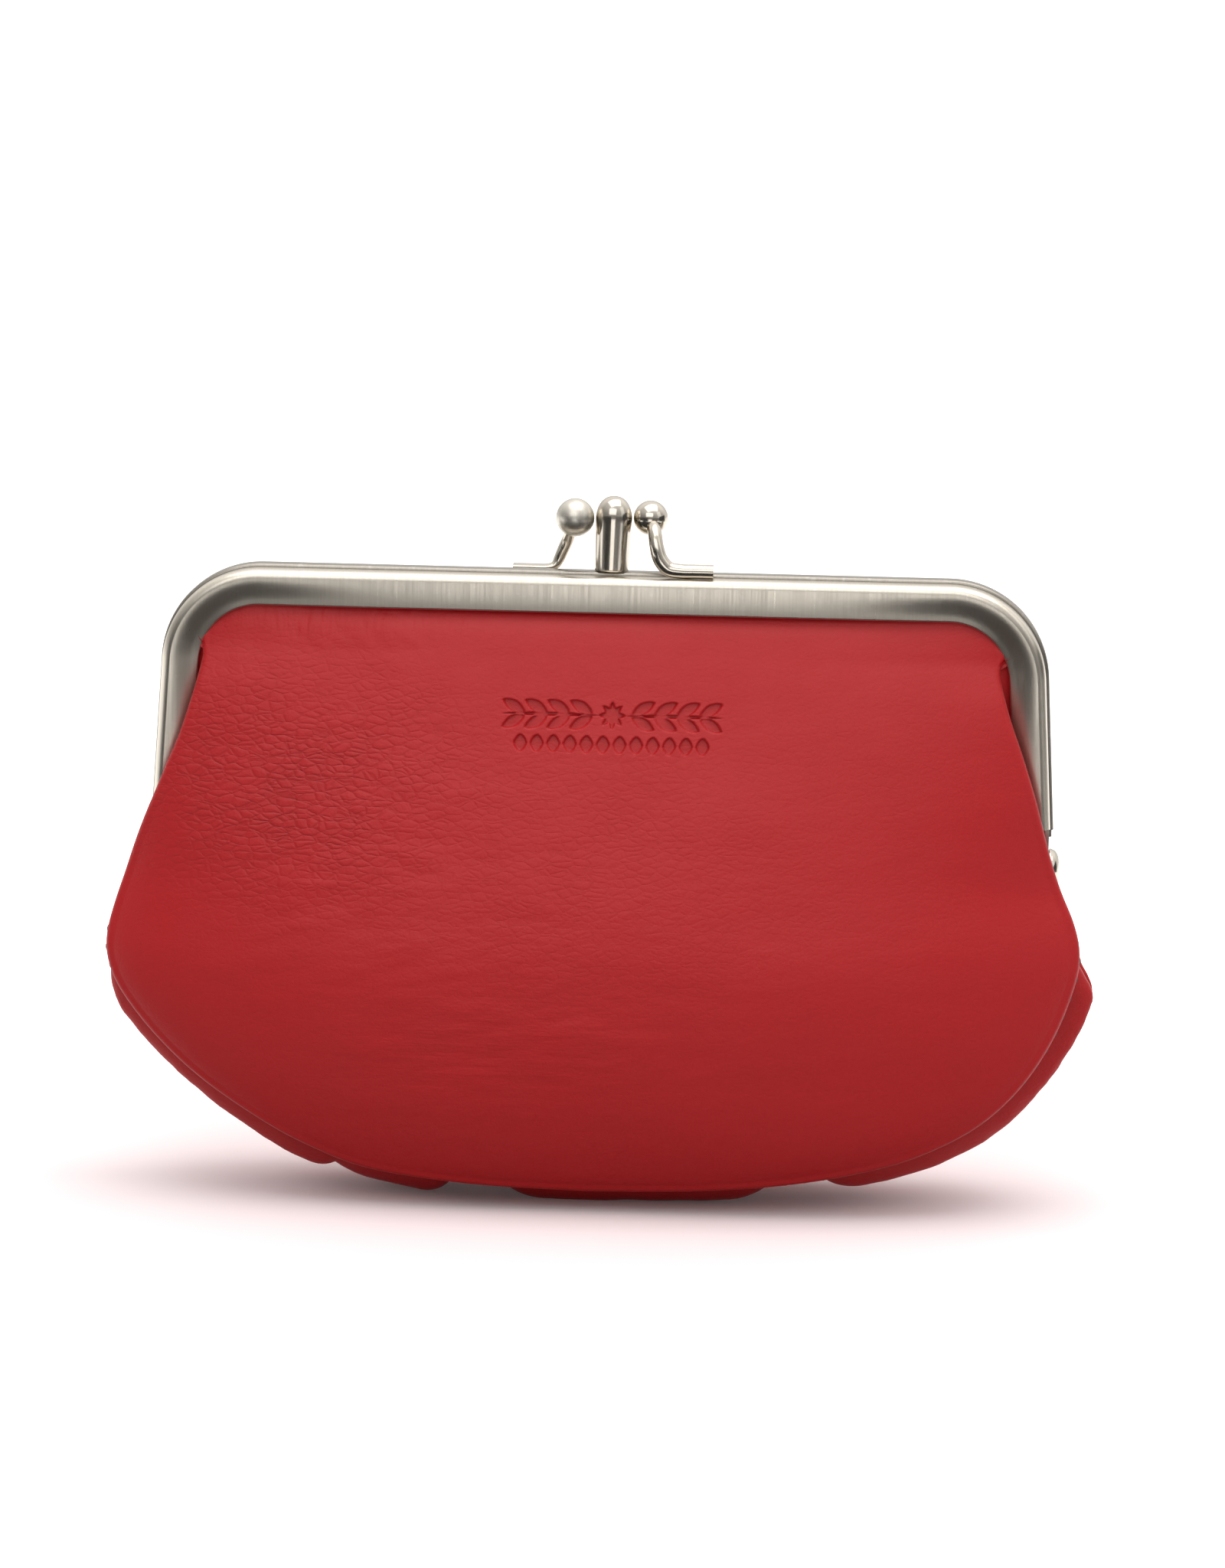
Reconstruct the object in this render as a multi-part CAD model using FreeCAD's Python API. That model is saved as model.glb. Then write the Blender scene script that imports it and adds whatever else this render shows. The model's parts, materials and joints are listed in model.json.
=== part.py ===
import FreeCAD, Part
import math
import os

# Kiss-lock coin purse with two compartments, standing upright on its base.
# Millimetres. +X is to the right, the front faces -Y and +Z is up. The origin is on the floor,
# under the middle of the purse.

# ---- driving dimensions ----
# The body seen from the front: rounded below its widest level, drawn in gently above it.
BODY_HALF_WIDTH = 70.0
WIDEST_Z = 34.0
WIDTH_ROUNDING = 2.1
WIDTH_POWER = 1 / 2.2
WIDTH_FLOOR = 0.06
WIDTH_DRAW_IN = 0.0125

# The body seen from the side: it bulges most a little lower.
BODY_HALF_DEPTH = 20.8
DEEPEST_Z = 27.0
DEPTH_ROUNDING = 3.0
DEPTH_POWER = 0.42
DEPTH_FLOOR = 0.1
DEPTH_DRAW_IN = 3.0
DRAW_IN_POWER = 1.9

# The body's level sections, its layers, and the level where its bending upper part begins.
SECTION_POWER = 0.86
SECTION_HEIGHTS = (0.0, 1.5, 4.0, 8.0, 14.0, 22.0, 32.0, 44.0)
SPLIT_Z = 44.0
SPLIT_GAP = 0.3
LEATHER = 1.0
LINING = 0.35
LAYER_GAP = 0.05
PANEL_TOP_Z = 88.6
LINING_TOP_Z = 85.4
LINING_WALL_HALF_WIDTH = 56.0
LINING_WALL_TOP_Z = 83.6

# The upper panel: height, half width, depth at its edges and depth in its middle.
UPPER_LEVELS = (
    (SPLIT_Z + SPLIT_GAP, 66.8, 6.4, 17.7),
    (50.0, 66.5, 6.8, 16.0),
    (56.0, 64.0, 6.8, 13.9),
    (62.0, 61.0, 6.8, 11.7),
    (68.0, 58.8, 6.8, 9.6),
    (74.0, 57.4, 6.5, 7.8),
    (79.0, 56.2, 5.4, 6.2),
    (82.0, 53.0, 4.6, 5.0),
    (84.0, 53.0, 4.07, 4.09),
    (86.0, 54.8, 4.07, 4.09),
)
TUCKED_HALF_WIDTH = 52.0
TUCKED_Y = 4.07
BOW_ROUNDING = 2.33
BOW_POWER = 0.7

FRAME_TOP_Z = 90.0
HINGE_Z = 49.0
LEG_HALF_WIDTH = 64.6
LEG_FLARE = math.radians(3.2)
CORNER_RADIUS = 14.0
LEG_END_Z = 55.5
SHEET_METAL = 0.6
LEAF_NEAR_Y = 1.8
LEAF_FAR_Y = 5.2
LIP_WIDTH = 5.2
LIP_DROP = 0.5
EDGE_RADIUS = 1.2
FLANGE_WIDTH = 4.2
FLANGE_THICK = 0.5
MIDDLE_OVERHANG = 0.5
MIDDLE_HALF_Y = 1.5
MIDDLE_SHEET = 0.5
MIDDLE_EDGE_RADIUS = 0.5

EAR_RADIUS = 3.6
EAR_THICK = 0.6
FRONT_EAR_X = 63.5
REAR_EAR_X = 62.6
MIDDLE_EAR_X = 61.7
EAR_STEP = 1.5
ARM_INSET = 1.0
ARM_SHOULDER = 3.2
RIVET_RADIUS = 1.2
RIVET_CLEARANCE = 0.05
RIVET_HEAD_RADIUS = 3.1
RIVET_HEAD_PROUD = 1.7
RIVET_TAIL_RADIUS = 1.85
RIVET_TAIL = 0.8

CLASP_X = 1.0
POST_BASE_RADIUS = 2.42
POST_TOP_RADIUS = 2.62
POST_HEIGHT = 10.7
POST_DOME = 2.1
BALL_HEIGHT = 8.1
BALL_LEAN = 0.8
FRONT_BALL_RADIUS = 2.5
REAR_BALL_RADIUS = 2.75
CLASP_CLEARANCE = 0.1
STEM_RADIUS = 1.02
STEM_BEND = 2.6
STEM_TOP_X = 0.9
STEM_TOP_Y = 0.6
STEM_TOP_DROP = 3.4
FOOT_END = 14.5
FRONT_FOOT_BEND = 8.4
REAR_FOOT_BEND = 8.0
REAR_FOOT_THICK = 0.85

CORD_RADIUS = 0.37
MIDDLE_CORD_RADIUS = 0.24
CORD_INWARD = 2.6
CORD_Y = 2.3
CORD_GAP = 0.02
CORD_FOOT_Z = 57.5
MIDDLE_CORD_FOOT_Z = 60.0
THREAD_RADIUS = 0.2
THREAD_BEND = 30.0
THREAD_HEIGHTS = (42.0, 36.0, 30.0, 24.0, 18.5, 13.5, 9.5, 7.2, 5.8)

DIVIDER_HALF = 0.45
DIVIDER_NECK = 60.2
DIVIDER_SHOULDER_Z = 58.0
DIVIDER_CORNER = 12.5
DIVIDER_GAP = 0.2
SEAM_TOP_Y = 5.0
SEAM_BOTTOM_Y = 15.0
SEAM_BOTTOM_Z = 3.0

BIG = 200.0


def vec(x, y, z):
    return FreeCAD.Vector(x, y, z)


def to_rear(shape):
    """The same piece on the rear half of the purse."""
    return shape.mirror(vec(0, 0, 0), vec(0, 1, 0))


def both_sides(shape):
    """A right-hand shape and its left-hand twin."""
    return [shape, shape.mirror(vec(0, 0, 0), vec(1, 0, 0))]


def save(name, shape):
    """One closed, valid piece per file, or a group of separate ones."""
    solids = shape.Solids
    shape = solids[0] if len(solids) == 1 else Part.makeCompound(solids)
    shape.exportStep(os.path.join("parts", name + ".step"))
    print(f"{name:22s} solids {len(solids)} volume {shape.Volume:9.1f} valid {shape.isValid()}")


# ---- the leather body ----

def body_half_width(z):
    """Half the width of the body at a height: round below its widest level, easing in above it."""
    if z < WIDEST_Z:
        drop = (WIDEST_Z - z) / WIDEST_Z
        return BODY_HALF_WIDTH * max(1 - drop**WIDTH_ROUNDING, WIDTH_FLOOR) ** WIDTH_POWER
    return BODY_HALF_WIDTH - WIDTH_DRAW_IN * (z - WIDEST_Z) ** 2


def body_half_depth(z):
    """How far the body bulges to the front or the rear at a height."""
    if z < DEEPEST_Z:
        drop = (DEEPEST_Z - z) / DEEPEST_Z
        return BODY_HALF_DEPTH * max(1 - drop**DEPTH_ROUNDING, DEPTH_FLOOR) ** DEPTH_POWER
    rise = (z - DEEPEST_Z) / (SPLIT_Z - DEEPEST_Z)
    return BODY_HALF_DEPTH - DEPTH_DRAW_IN * rise**DRAW_IN_POWER


def body_section(z, inset):
    """A closed, rounded outline of the body at a height, moved in from its outside."""
    width = body_half_width(z) - inset
    depth = body_half_depth(z) - inset
    points = []
    count = 24
    for i in range(count):
        angle = 2 * math.pi * i / count
        c, s = math.cos(angle), math.sin(angle)
        x = width * math.copysign(abs(c) ** SECTION_POWER, c)
        y = depth * math.copysign(abs(s) ** SECTION_POWER, s)
        points.append(vec(x, y, z))
    curve = Part.BSplineCurve()
    curve.interpolate(Points=points, PeriodicFlag=True)
    return Part.Wire([curve.toShape()])


def body_solid(inset):
    """The body filled solid from its floor to the split, moved in from its outside."""
    sections = []
    for z in SECTION_HEIGHTS:
        lift = inset * (1 - z / SPLIT_Z)
        sections.append(body_section(z, inset).translated(vec(0, 0, lift)))
    return Part.makeLoft(sections, True, False)


def half_space(y):
    """Everything in front of a plane of constant depth."""
    return Part.makeBox(2 * BIG, BIG, 2 * BIG, vec(-BIG, y - BIG, -BIG))


def front_of_seam():
    """Everything in front of the slanted surface that the panel seam lies in."""
    corners = [
        vec(-BIG, -seam_depth(-BIG), -BIG),
        vec(-BIG, -seam_depth(SPLIT_Z + BIG), SPLIT_Z + BIG),
        vec(-BIG, -2 * BIG, SPLIT_Z + BIG),
        vec(-BIG, -2 * BIG, -BIG),
    ]
    face = Part.Face(Part.makePolygon(corners + corners[:1]))
    return face.extrude(vec(2 * BIG, 0, 0))


def leather_shell():
    """The wall of the body, open at the top."""
    return body_solid(0.0).cut(body_solid(LEATHER))


def front_panel_lower(shell):
    """The part of the wall in front of the seam."""
    return shell.common(front_of_seam())


def front_gusset(shell):
    """The strip between the front panel's seam and the divider, along the sides and the base."""
    return shell.common(half_space(-DIVIDER_HALF)).cut(front_of_seam())


def bowed_edge(z, half_width, edge_y, middle_y):
    """A smooth curve from side to side that bows out to the front in the middle."""
    points = []
    steps = 12
    for i in range(steps + 1):
        x = -math.cos(math.pi * i / steps)
        rise = max(1 - abs(x) ** BOW_ROUNDING, 0.0) ** BOW_POWER
        points.append(vec(x * half_width, -edge_y - (middle_y - edge_y) * rise, z))
    curve = Part.BSplineCurve()
    curve.interpolate(points)
    return curve.toShape(), points[0], points[-1]


def strip_section(z, half_width, edge_y, middle_y, thick):
    """A bowed strip of leather cut across at a height: two curves joined at their ends."""
    outer, start, end = bowed_edge(z, half_width, edge_y, middle_y)
    back = vec(0, thick, 0)
    edges = [
        outer,
        Part.LineSegment(end, end + back).toShape(),
        outer.translated(back),
        Part.LineSegment(start + back, start).toShape(),
    ]
    return Part.Wire(edges)


def upper_sheet(inset, thick, top_z):
    """The bowed sheet from the split up to the frame, its top tucked into the channel."""
    levels = UPPER_LEVELS + ((top_z, TUCKED_HALF_WIDTH, TUCKED_Y, TUCKED_Y + CORD_GAP),)
    sections = [strip_section(z, w - inset, e - inset, m - inset, thick) for z, w, e, m in levels]
    return Part.makeLoft(sections, True, True)


def front_panel_upper():
    """The upper part of the front panel, with its top edge held in the frame's channel."""
    return upper_sheet(0.0, LEATHER, PANEL_TOP_Z)


def front_lining_upper():
    """The lining behind the upper part of the front panel."""
    return upper_sheet(LEATHER + LAYER_GAP, LINING, LINING_TOP_Z)


def front_lining_lower():
    """A pouch of lining inside the body, with a back wall that runs up the divider."""
    outside = LEATHER + LAYER_GAP
    back_y = -DIVIDER_HALF - LAYER_GAP
    pouch = body_solid(outside).common(half_space(back_y))
    hollow = body_solid(outside + LINING).common(half_space(back_y - LINING))
    foot_z = SPLIT_Z - 0.4
    corner = vec(-LINING_WALL_HALF_WIDTH, back_y - LINING, foot_z)
    wall = Part.makeBox(2 * LINING_WALL_HALF_WIDTH, LINING, LINING_WALL_TOP_Z - foot_z, corner)
    return pouch.cut(hollow).fuse(wall).removeSplitter()


def divider():
    """The leather wall between the compartments: from the base, between the hinges, to the frame."""
    slab = Part.makeBox(2 * BIG, 2 * DIVIDER_HALF, SPLIT_Z, vec(-BIG, -DIVIDER_HALF, 0))
    lower = body_solid(0.0).common(slab)
    channel = MIDDLE_SHEET - MIDDLE_OVERHANG + DIVIDER_GAP
    top_z = FRAME_TOP_Z - channel
    leg = leg_x(DIVIDER_SHOULDER_Z) - channel - 0.1
    right = leg_x(top_z) - channel - 0.1
    corner = DIVIDER_CORNER
    bulge = corner * (1 - math.sqrt(0.5))
    outline = [
        vec(DIVIDER_NECK, 0, SPLIT_Z - 1.0),
        vec(DIVIDER_NECK, 0, DIVIDER_SHOULDER_Z - 2.0),
        vec(leg, 0, DIVIDER_SHOULDER_Z),
        vec(right, 0, top_z - corner),
        vec(right - bulge, 0, top_z - bulge),
        vec(right - corner, 0, top_z),
    ]
    mirrored = [vec(-p.x, 0, p.z) for p in reversed(outline)]
    arc_right = Part.Arc(outline[3], outline[4], outline[5]).toShape()
    arc_left = Part.Arc(mirrored[0], mirrored[1], mirrored[2]).toShape()
    edges = [Part.LineSegment(a, b).toShape() for a, b in zip(outline[:3], outline[1:4])]
    edges += [arc_right, Part.LineSegment(outline[5], mirrored[0]).toShape(), arc_left]
    edges += [Part.LineSegment(a, b).toShape() for a, b in zip(mirrored[2:5], mirrored[3:])]
    edges.append(Part.LineSegment(mirrored[-1], outline[0]).toShape())
    upper = Part.Face(Part.Wire(edges)).extrude(vec(0, 2 * DIVIDER_HALF, 0))
    upper.translate(vec(0, -DIVIDER_HALF, 0))
    return lower.fuse(upper).removeSplitter()


def seam_depth(z):
    """How far in front of the middle the seam lies at a height."""
    slope = (SEAM_BOTTOM_Y - SEAM_TOP_Y) / (SPLIT_Z - SEAM_BOTTOM_Z)
    return SEAM_TOP_Y + slope * (SPLIT_Z - z)


def seam_thread():
    """Sewing thread inside the seam between the front panel and its gusset."""
    inset = LEATHER / 2
    power = 1 / SECTION_POWER
    right = []
    for z in THREAD_HEIGHTS:
        share = min(seam_depth(z) / (body_half_depth(z) - inset), 1.0)
        across = (1 - share ** (2 * power)) ** (SECTION_POWER / 2)
        right.append(vec((body_half_width(z) - inset) * across, -seam_depth(z), z))
    left = [vec(-p.x, p.y, p.z) for p in reversed(right)]
    return tube(right + left, THREAD_RADIUS, THREAD_BEND)


# ---- the frame ----

def leg_x(z):
    """Where the outer edge of a leaf's right leg is at a height."""
    return LEG_HALF_WIDTH - (z - HINGE_Z) * math.tan(LEG_FLARE)


def sweep_leaf(section, overhang, leg_end_z):
    """A leaf of the frame: a section carried up a leg, round the corner and along the top.

    The section is a function that is given a function from (inward, depth) to a point, and makes a face.
    """
    down = vec(math.sin(LEG_FLARE), 0, -math.cos(LEG_FLARE))
    inward = vec(-math.cos(LEG_FLARE), 0, -math.sin(LEG_FLARE))
    turn = math.pi / 2 - LEG_FLARE
    reach = CORNER_RADIUS * math.tan(turn / 2)
    corner = vec(leg_x(FRAME_TOP_Z), 0, FRAME_TOP_Z)
    top_start = corner - vec(reach, 0, 0)
    centre = top_start - vec(0, 0, CORNER_RADIUS)
    leg_top = corner + down * reach
    leg_length = (leg_top.z - leg_end_z) / math.cos(LEG_FLARE)

    def place(origin, direction):
        start = origin - direction * overhang
        return section(lambda u, v: start + direction * u + vec(0, v, 0))

    leg = place(leg_top, inward).extrude(down * leg_length)
    bend = place(leg_top, inward).revolve(centre, vec(0, -1, 0), math.degrees(turn))
    top = place(top_start, vec(0, 0, -1)).extrude(vec(-top_start.x, 0, 0))
    right = leg.fuse([bend, top])
    return right.fuse(right.mirror(vec(0, 0, 0), vec(1, 0, 0))).removeSplitter()


def outer_section(at):
    """The front leaf's channel: a crowned face, a rounded outer edge, a web and an inner flange."""
    t, r = SHEET_METAL, EDGE_RADIUS
    near, far = -LEAF_NEAR_Y, -LEAF_FAR_Y
    inside = near - FLANGE_THICK
    k = r * (1 - math.sqrt(0.5))
    q = r - (r - t) * math.sqrt(0.5)
    crown = (r + LIP_WIDTH) / 2
    sag = LIP_DROP / 5
    edges = [
        Part.Arc(at(LIP_WIDTH, far + LIP_DROP), at(crown, far + sag), at(r, far)).toShape(),
        Part.Arc(at(r, far), at(k, far + k), at(0, far + r)).toShape(),
        Part.LineSegment(at(0, far + r), at(0, near)).toShape(),
        Part.LineSegment(at(0, near), at(FLANGE_WIDTH, near)).toShape(),
        Part.LineSegment(at(FLANGE_WIDTH, near), at(FLANGE_WIDTH, inside)).toShape(),
        Part.LineSegment(at(FLANGE_WIDTH, inside), at(t, inside)).toShape(),
        Part.LineSegment(at(t, inside), at(t, far + r)).toShape(),
        Part.Arc(at(t, far + r), at(q, far + q), at(r, far + t)).toShape(),
        Part.Arc(at(r, far + t), at(crown, far + t + sag), at(LIP_WIDTH, far + t + LIP_DROP)).toShape(),
        Part.LineSegment(at(LIP_WIDTH, far + t + LIP_DROP), at(LIP_WIDTH, far + LIP_DROP)).toShape(),
    ]
    return Part.Face(Part.Wire(edges))


def middle_section(at):
    """The middle leaf's channel, with rounded outer edges and two equal flanges."""
    t, h, r = MIDDLE_SHEET, MIDDLE_HALF_Y, MIDDLE_EDGE_RADIUS
    deep = FLANGE_WIDTH + MIDDLE_OVERHANG
    k = r * (1 - math.sqrt(0.5))
    edges = [
        Part.LineSegment(at(deep, -h), at(r, -h)).toShape(),
        Part.Arc(at(r, -h), at(k, -h + k), at(0, -h + r)).toShape(),
        Part.LineSegment(at(0, -h + r), at(0, h - r)).toShape(),
        Part.Arc(at(0, h - r), at(k, h - k), at(r, h)).toShape(),
        Part.LineSegment(at(r, h), at(deep, h)).toShape(),
        Part.LineSegment(at(deep, h), at(deep, h - t)).toShape(),
        Part.LineSegment(at(deep, h - t), at(t, h - t)).toShape(),
        Part.LineSegment(at(t, h - t), at(t, -h + t)).toShape(),
        Part.LineSegment(at(t, -h + t), at(deep, -h + t)).toShape(),
        Part.LineSegment(at(deep, -h + t), at(deep, -h)).toShape(),
    ]
    return Part.Face(Part.Wire(edges))


def cord_section(depth, radius):
    """A round cord lying inside a channel."""

    def section(at):
        middle = at(CORD_INWARD, depth)
        across = at(CORD_INWARD + 1, depth) - middle
        normal = across.cross(vec(0, 1, 0))
        return Part.Face(Part.Wire([Part.makeCircle(radius, middle, normal)]))

    return section


def plate(outline, x, thick):
    """A flat plate across X from its outline in (y, z)."""
    points = [vec(x, y, z) for y, z in outline]
    return Part.Face(Part.makePolygon(points + points[:1])).extrude(vec(thick, 0, 0))


def ear_disc(x):
    """The disc of an ear, round the hinge, at a place across the purse."""
    return Part.makeCylinder(EAR_RADIUS, EAR_THICK, vec(x, 0, HINGE_Z), vec(1, 0, 0))


def arm_outline():
    """The arm between an ear's disc and the foot of a front leg, in (y, z)."""
    return [
        (-LEAF_NEAR_Y, LEG_END_Z + EAR_STEP),
        (-LEAF_FAR_Y + ARM_INSET, LEG_END_Z + EAR_STEP),
        (-LEAF_FAR_Y + ARM_INSET, LEG_END_Z - EAR_STEP),
        (-EAR_RADIUS, HINGE_Z),
        (0, HINGE_Z),
        (-LEAF_NEAR_Y, HINGE_Z + ARM_SHOULDER),
    ]


def front_ear():
    """The front leaf's right-hand ear: a disc round the hinge and an arm up to the leg."""
    return ear_disc(FRONT_EAR_X).fuse(plate(arm_outline(), FRONT_EAR_X, EAR_THICK))


def rear_ear():
    """The rear leaf's right-hand ear, built on the front side: it sits inside the other and steps in."""
    arm = plate(arm_outline(), REAR_EAR_X, EAR_THICK)
    step = [
        (-LEAF_NEAR_Y, LEG_END_Z + EAR_STEP),
        (-LEAF_FAR_Y + ARM_INSET, LEG_END_Z + EAR_STEP),
        (-LEAF_FAR_Y + ARM_INSET, LEG_END_Z),
        (-LEAF_NEAR_Y, LEG_END_Z),
    ]
    wide = leg_x(LEG_END_Z + EAR_STEP) - REAR_EAR_X
    return ear_disc(REAR_EAR_X).fuse([arm, plate(step, REAR_EAR_X, wide)])


def middle_ear():
    """The middle leaf's right-hand ear: the innermost disc, with a step out to the leg."""
    h = MIDDLE_HALF_Y
    arm = [(-h, LEG_END_Z), (h, LEG_END_Z), (h, HINGE_Z), (-h, HINGE_Z)]
    step = [(-h, LEG_END_Z), (h, LEG_END_Z), (h, LEG_END_Z - EAR_STEP), (-h, LEG_END_Z - EAR_STEP)]
    wide = leg_x(LEG_END_Z) + MIDDLE_OVERHANG - MIDDLE_EAR_X
    parts = [plate(arm, MIDDLE_EAR_X, EAR_THICK), plate(step, MIDDLE_EAR_X, wide)]
    return ear_disc(MIDDLE_EAR_X).fuse(parts)


def rivet_hole():
    """The hole through a pair of ears on both sides."""
    radius = RIVET_RADIUS + RIVET_CLEARANCE
    return Part.makeCylinder(radius, 2 * BIG, vec(-BIG, 0, HINGE_Z), vec(1, 0, 0))


def with_ears(leaf, ear):
    """A leaf with an ear on each leg, drilled for the rivets."""
    return leaf.fuse(both_sides(ear)).removeSplitter().cut(rivet_hole())


def hinge_rivet():
    """The right-hand rivet: a domed head outside, a shank through three ears and a peened tail."""
    head_x = FRONT_EAR_X + EAR_THICK + 0.1
    tail_x = MIDDLE_EAR_X - 0.1
    along = vec(1, 0, 0)
    shank = Part.makeCylinder(RIVET_RADIUS, head_x - tail_x, vec(tail_x, 0, HINGE_Z), along)
    tail = Part.makeCylinder(RIVET_TAIL_RADIUS, RIVET_TAIL, vec(tail_x - RIVET_TAIL, 0, HINGE_Z), along)
    dome_radius = (RIVET_HEAD_RADIUS**2 + RIVET_HEAD_PROUD**2) / (2 * RIVET_HEAD_PROUD)
    dome = Part.makeSphere(dome_radius, vec(head_x + RIVET_HEAD_PROUD - dome_radius, 0, HINGE_Z))
    reach = Part.makeCylinder(2 * dome_radius, 2 * dome_radius, vec(head_x, 0, HINGE_Z), along)
    return shank.fuse([tail, dome.common(reach)]).removeSplitter()


# ---- the clasp ----

def top_rim(shape):
    """The circular edge round the top of an upright round piece."""
    return max(shape.Edges, key=lambda e: (e.BoundBox.ZMin, e.BoundBox.XLength))


def clasp_post():
    """The post on the middle leaf that the two balls snap past: slightly tapered, with a domed top."""
    base = vec(0, 0, FRAME_TOP_Z + MIDDLE_OVERHANG)
    post = Part.makeCone(POST_BASE_RADIUS, POST_TOP_RADIUS, POST_HEIGHT, base, vec(0, 0, 1))
    return post.makeFillet(POST_DOME, [top_rim(post)])


def ball_centre(radius):
    """Where the front leaf's ball is, to the right of the post and just behind its axis."""
    x = POST_TOP_RADIUS + CLASP_CLEARANCE + radius
    return vec(x, BALL_LEAN, FRAME_TOP_Z + BALL_HEIGHT)


def rounded_path(points, radius):
    """Straight runs joined by tangent arcs of a radius, or less where the runs are short, as one wire."""
    edges = []
    start = points[0]
    for before, corner, after in zip(points, points[1:], points[2:]):
        back, on = before - corner, after - corner
        room = 0.45 * min(back.Length, on.Length)
        back.normalize()
        on.normalize()
        half = math.acos(max(-1.0, min(1.0, back.dot(on)))) / 2
        bend = min(radius, room * math.tan(half))
        reach = bend / math.tan(half)
        first, last = corner + back * reach, corner + on * reach
        towards = (back + on).normalize()
        middle = corner + towards * (bend / math.sin(half) - bend)
        edges.append(Part.LineSegment(start, first).toShape())
        edges.append(Part.Arc(first, middle, last).toShape())
        start = last
    edges.append(Part.LineSegment(start, points[-1]).toShape())
    return Part.Wire(edges)


def tube(points, radius, bend):
    """A round rod along straight runs joined by tangent arcs."""
    path = rounded_path(points, bend)
    ring = Part.Wire([Part.makeCircle(radius, points[0], points[1] - points[0])])
    return path.makePipeShell([ring], True, True)


def clasp_stem(radius, foot_bend):
    """A rod from its foot on the leaf's top edge, up and across to the ball's underside."""
    leaf_y = -(LEAF_NEAR_Y + LEAF_FAR_Y) / 2
    foot_z = FRAME_TOP_Z + STEM_RADIUS
    ball = ball_centre(radius)
    points = [
        vec(FOOT_END, leaf_y, foot_z),
        vec(foot_bend, leaf_y, foot_z),
        vec(ball.x + STEM_TOP_X, leaf_y + STEM_TOP_Y, ball.z - STEM_TOP_DROP),
        ball,
    ]
    rod = tube(points, STEM_RADIUS, STEM_BEND)
    return rod.cut(Part.makeSphere(radius, ball))


def flattened_foot(stem, foot_bend):
    """A stem whose foot is pressed flat, past its bend."""
    start = foot_bend + STEM_RADIUS
    corner = vec(start, -BIG, FRAME_TOP_Z + REAR_FOOT_THICK)
    return stem.cut(Part.makeBox(BIG, 2 * BIG, 2 * STEM_RADIUS, corner))


def clasp_ball(radius):
    """The ball on the end of a stem."""
    return Part.makeSphere(radius, ball_centre(radius))


def on_clasp_axis(shape):
    """A piece built round the frame's middle, moved to where the clasp sits."""
    return shape.translated(vec(CLASP_X, 0, 0))


def turned_round(shape):
    """A front piece turned half a turn about Z, as the rear leaf carries it."""
    return shape.rotated(vec(0, 0, 0), vec(0, 0, 1), 180)


def save_frame():
    """The three leaves, the cords in their channels and the rivets."""
    leaf = sweep_leaf(outer_section, 0.0, LEG_END_Z)
    middle = sweep_leaf(middle_section, MIDDLE_OVERHANG, LEG_END_Z - 0.5)
    cord = sweep_leaf(cord_section(-CORD_Y - CORD_RADIUS - CORD_GAP, CORD_RADIUS), 0.0, CORD_FOOT_Z)
    middle_depth = DIVIDER_HALF + MIDDLE_CORD_RADIUS + CORD_GAP
    middle_cord = sweep_leaf(cord_section(middle_depth, MIDDLE_CORD_RADIUS), 0.0, MIDDLE_CORD_FOOT_Z)
    rivet_right, rivet_left = both_sides(hinge_rivet())
    save("front_frame_leaf", with_ears(leaf, front_ear()))
    save("rear_frame_leaf", to_rear(with_ears(leaf, rear_ear())))
    save("middle_frame_leaf", with_ears(middle, middle_ear()))
    save("front_paper_cord", cord)
    save("rear_paper_cord", to_rear(cord))
    save("middle_paper_cord", middle_cord)
    save("hinge_rivet_left", rivet_left)
    save("hinge_rivet_right", rivet_right)


def save_clasp():
    """The post, and a ball on a stem for each outer leaf."""
    rear_stem = flattened_foot(clasp_stem(REAR_BALL_RADIUS, REAR_FOOT_BEND), REAR_FOOT_BEND)
    save("middle_clasp_post", on_clasp_axis(clasp_post()))
    save("front_clasp_ball", on_clasp_axis(clasp_ball(FRONT_BALL_RADIUS)))
    save("front_clasp_stem", on_clasp_axis(clasp_stem(FRONT_BALL_RADIUS, FRONT_FOOT_BEND)))
    save("rear_clasp_ball", on_clasp_axis(turned_round(clasp_ball(REAR_BALL_RADIUS))))
    save("rear_clasp_stem", on_clasp_axis(turned_round(rear_stem)))


def save_leather():
    """The panels, gussets, linings and seams of both compartments, and the divider between them."""
    shell = leather_shell()
    pieces = {
        "panel_lower": front_panel_lower(shell),
        "panel_upper": front_panel_upper(),
        "gusset": front_gusset(shell),
        "lining_lower": front_lining_lower(),
        "lining_upper": front_lining_upper(),
        "seam_thread": seam_thread(),
    }
    for name, piece in pieces.items():
        save("front_" + name, piece)
        save("rear_" + name, to_rear(piece))
    save("divider", divider())


def main():
    os.makedirs("parts", exist_ok=True)
    save_frame()
    save_clasp()
    save_leather()


main()
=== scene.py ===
import json
import math

import bmesh
import bpy
import numpy as np
from mathutils import Matrix, Vector, noise


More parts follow.
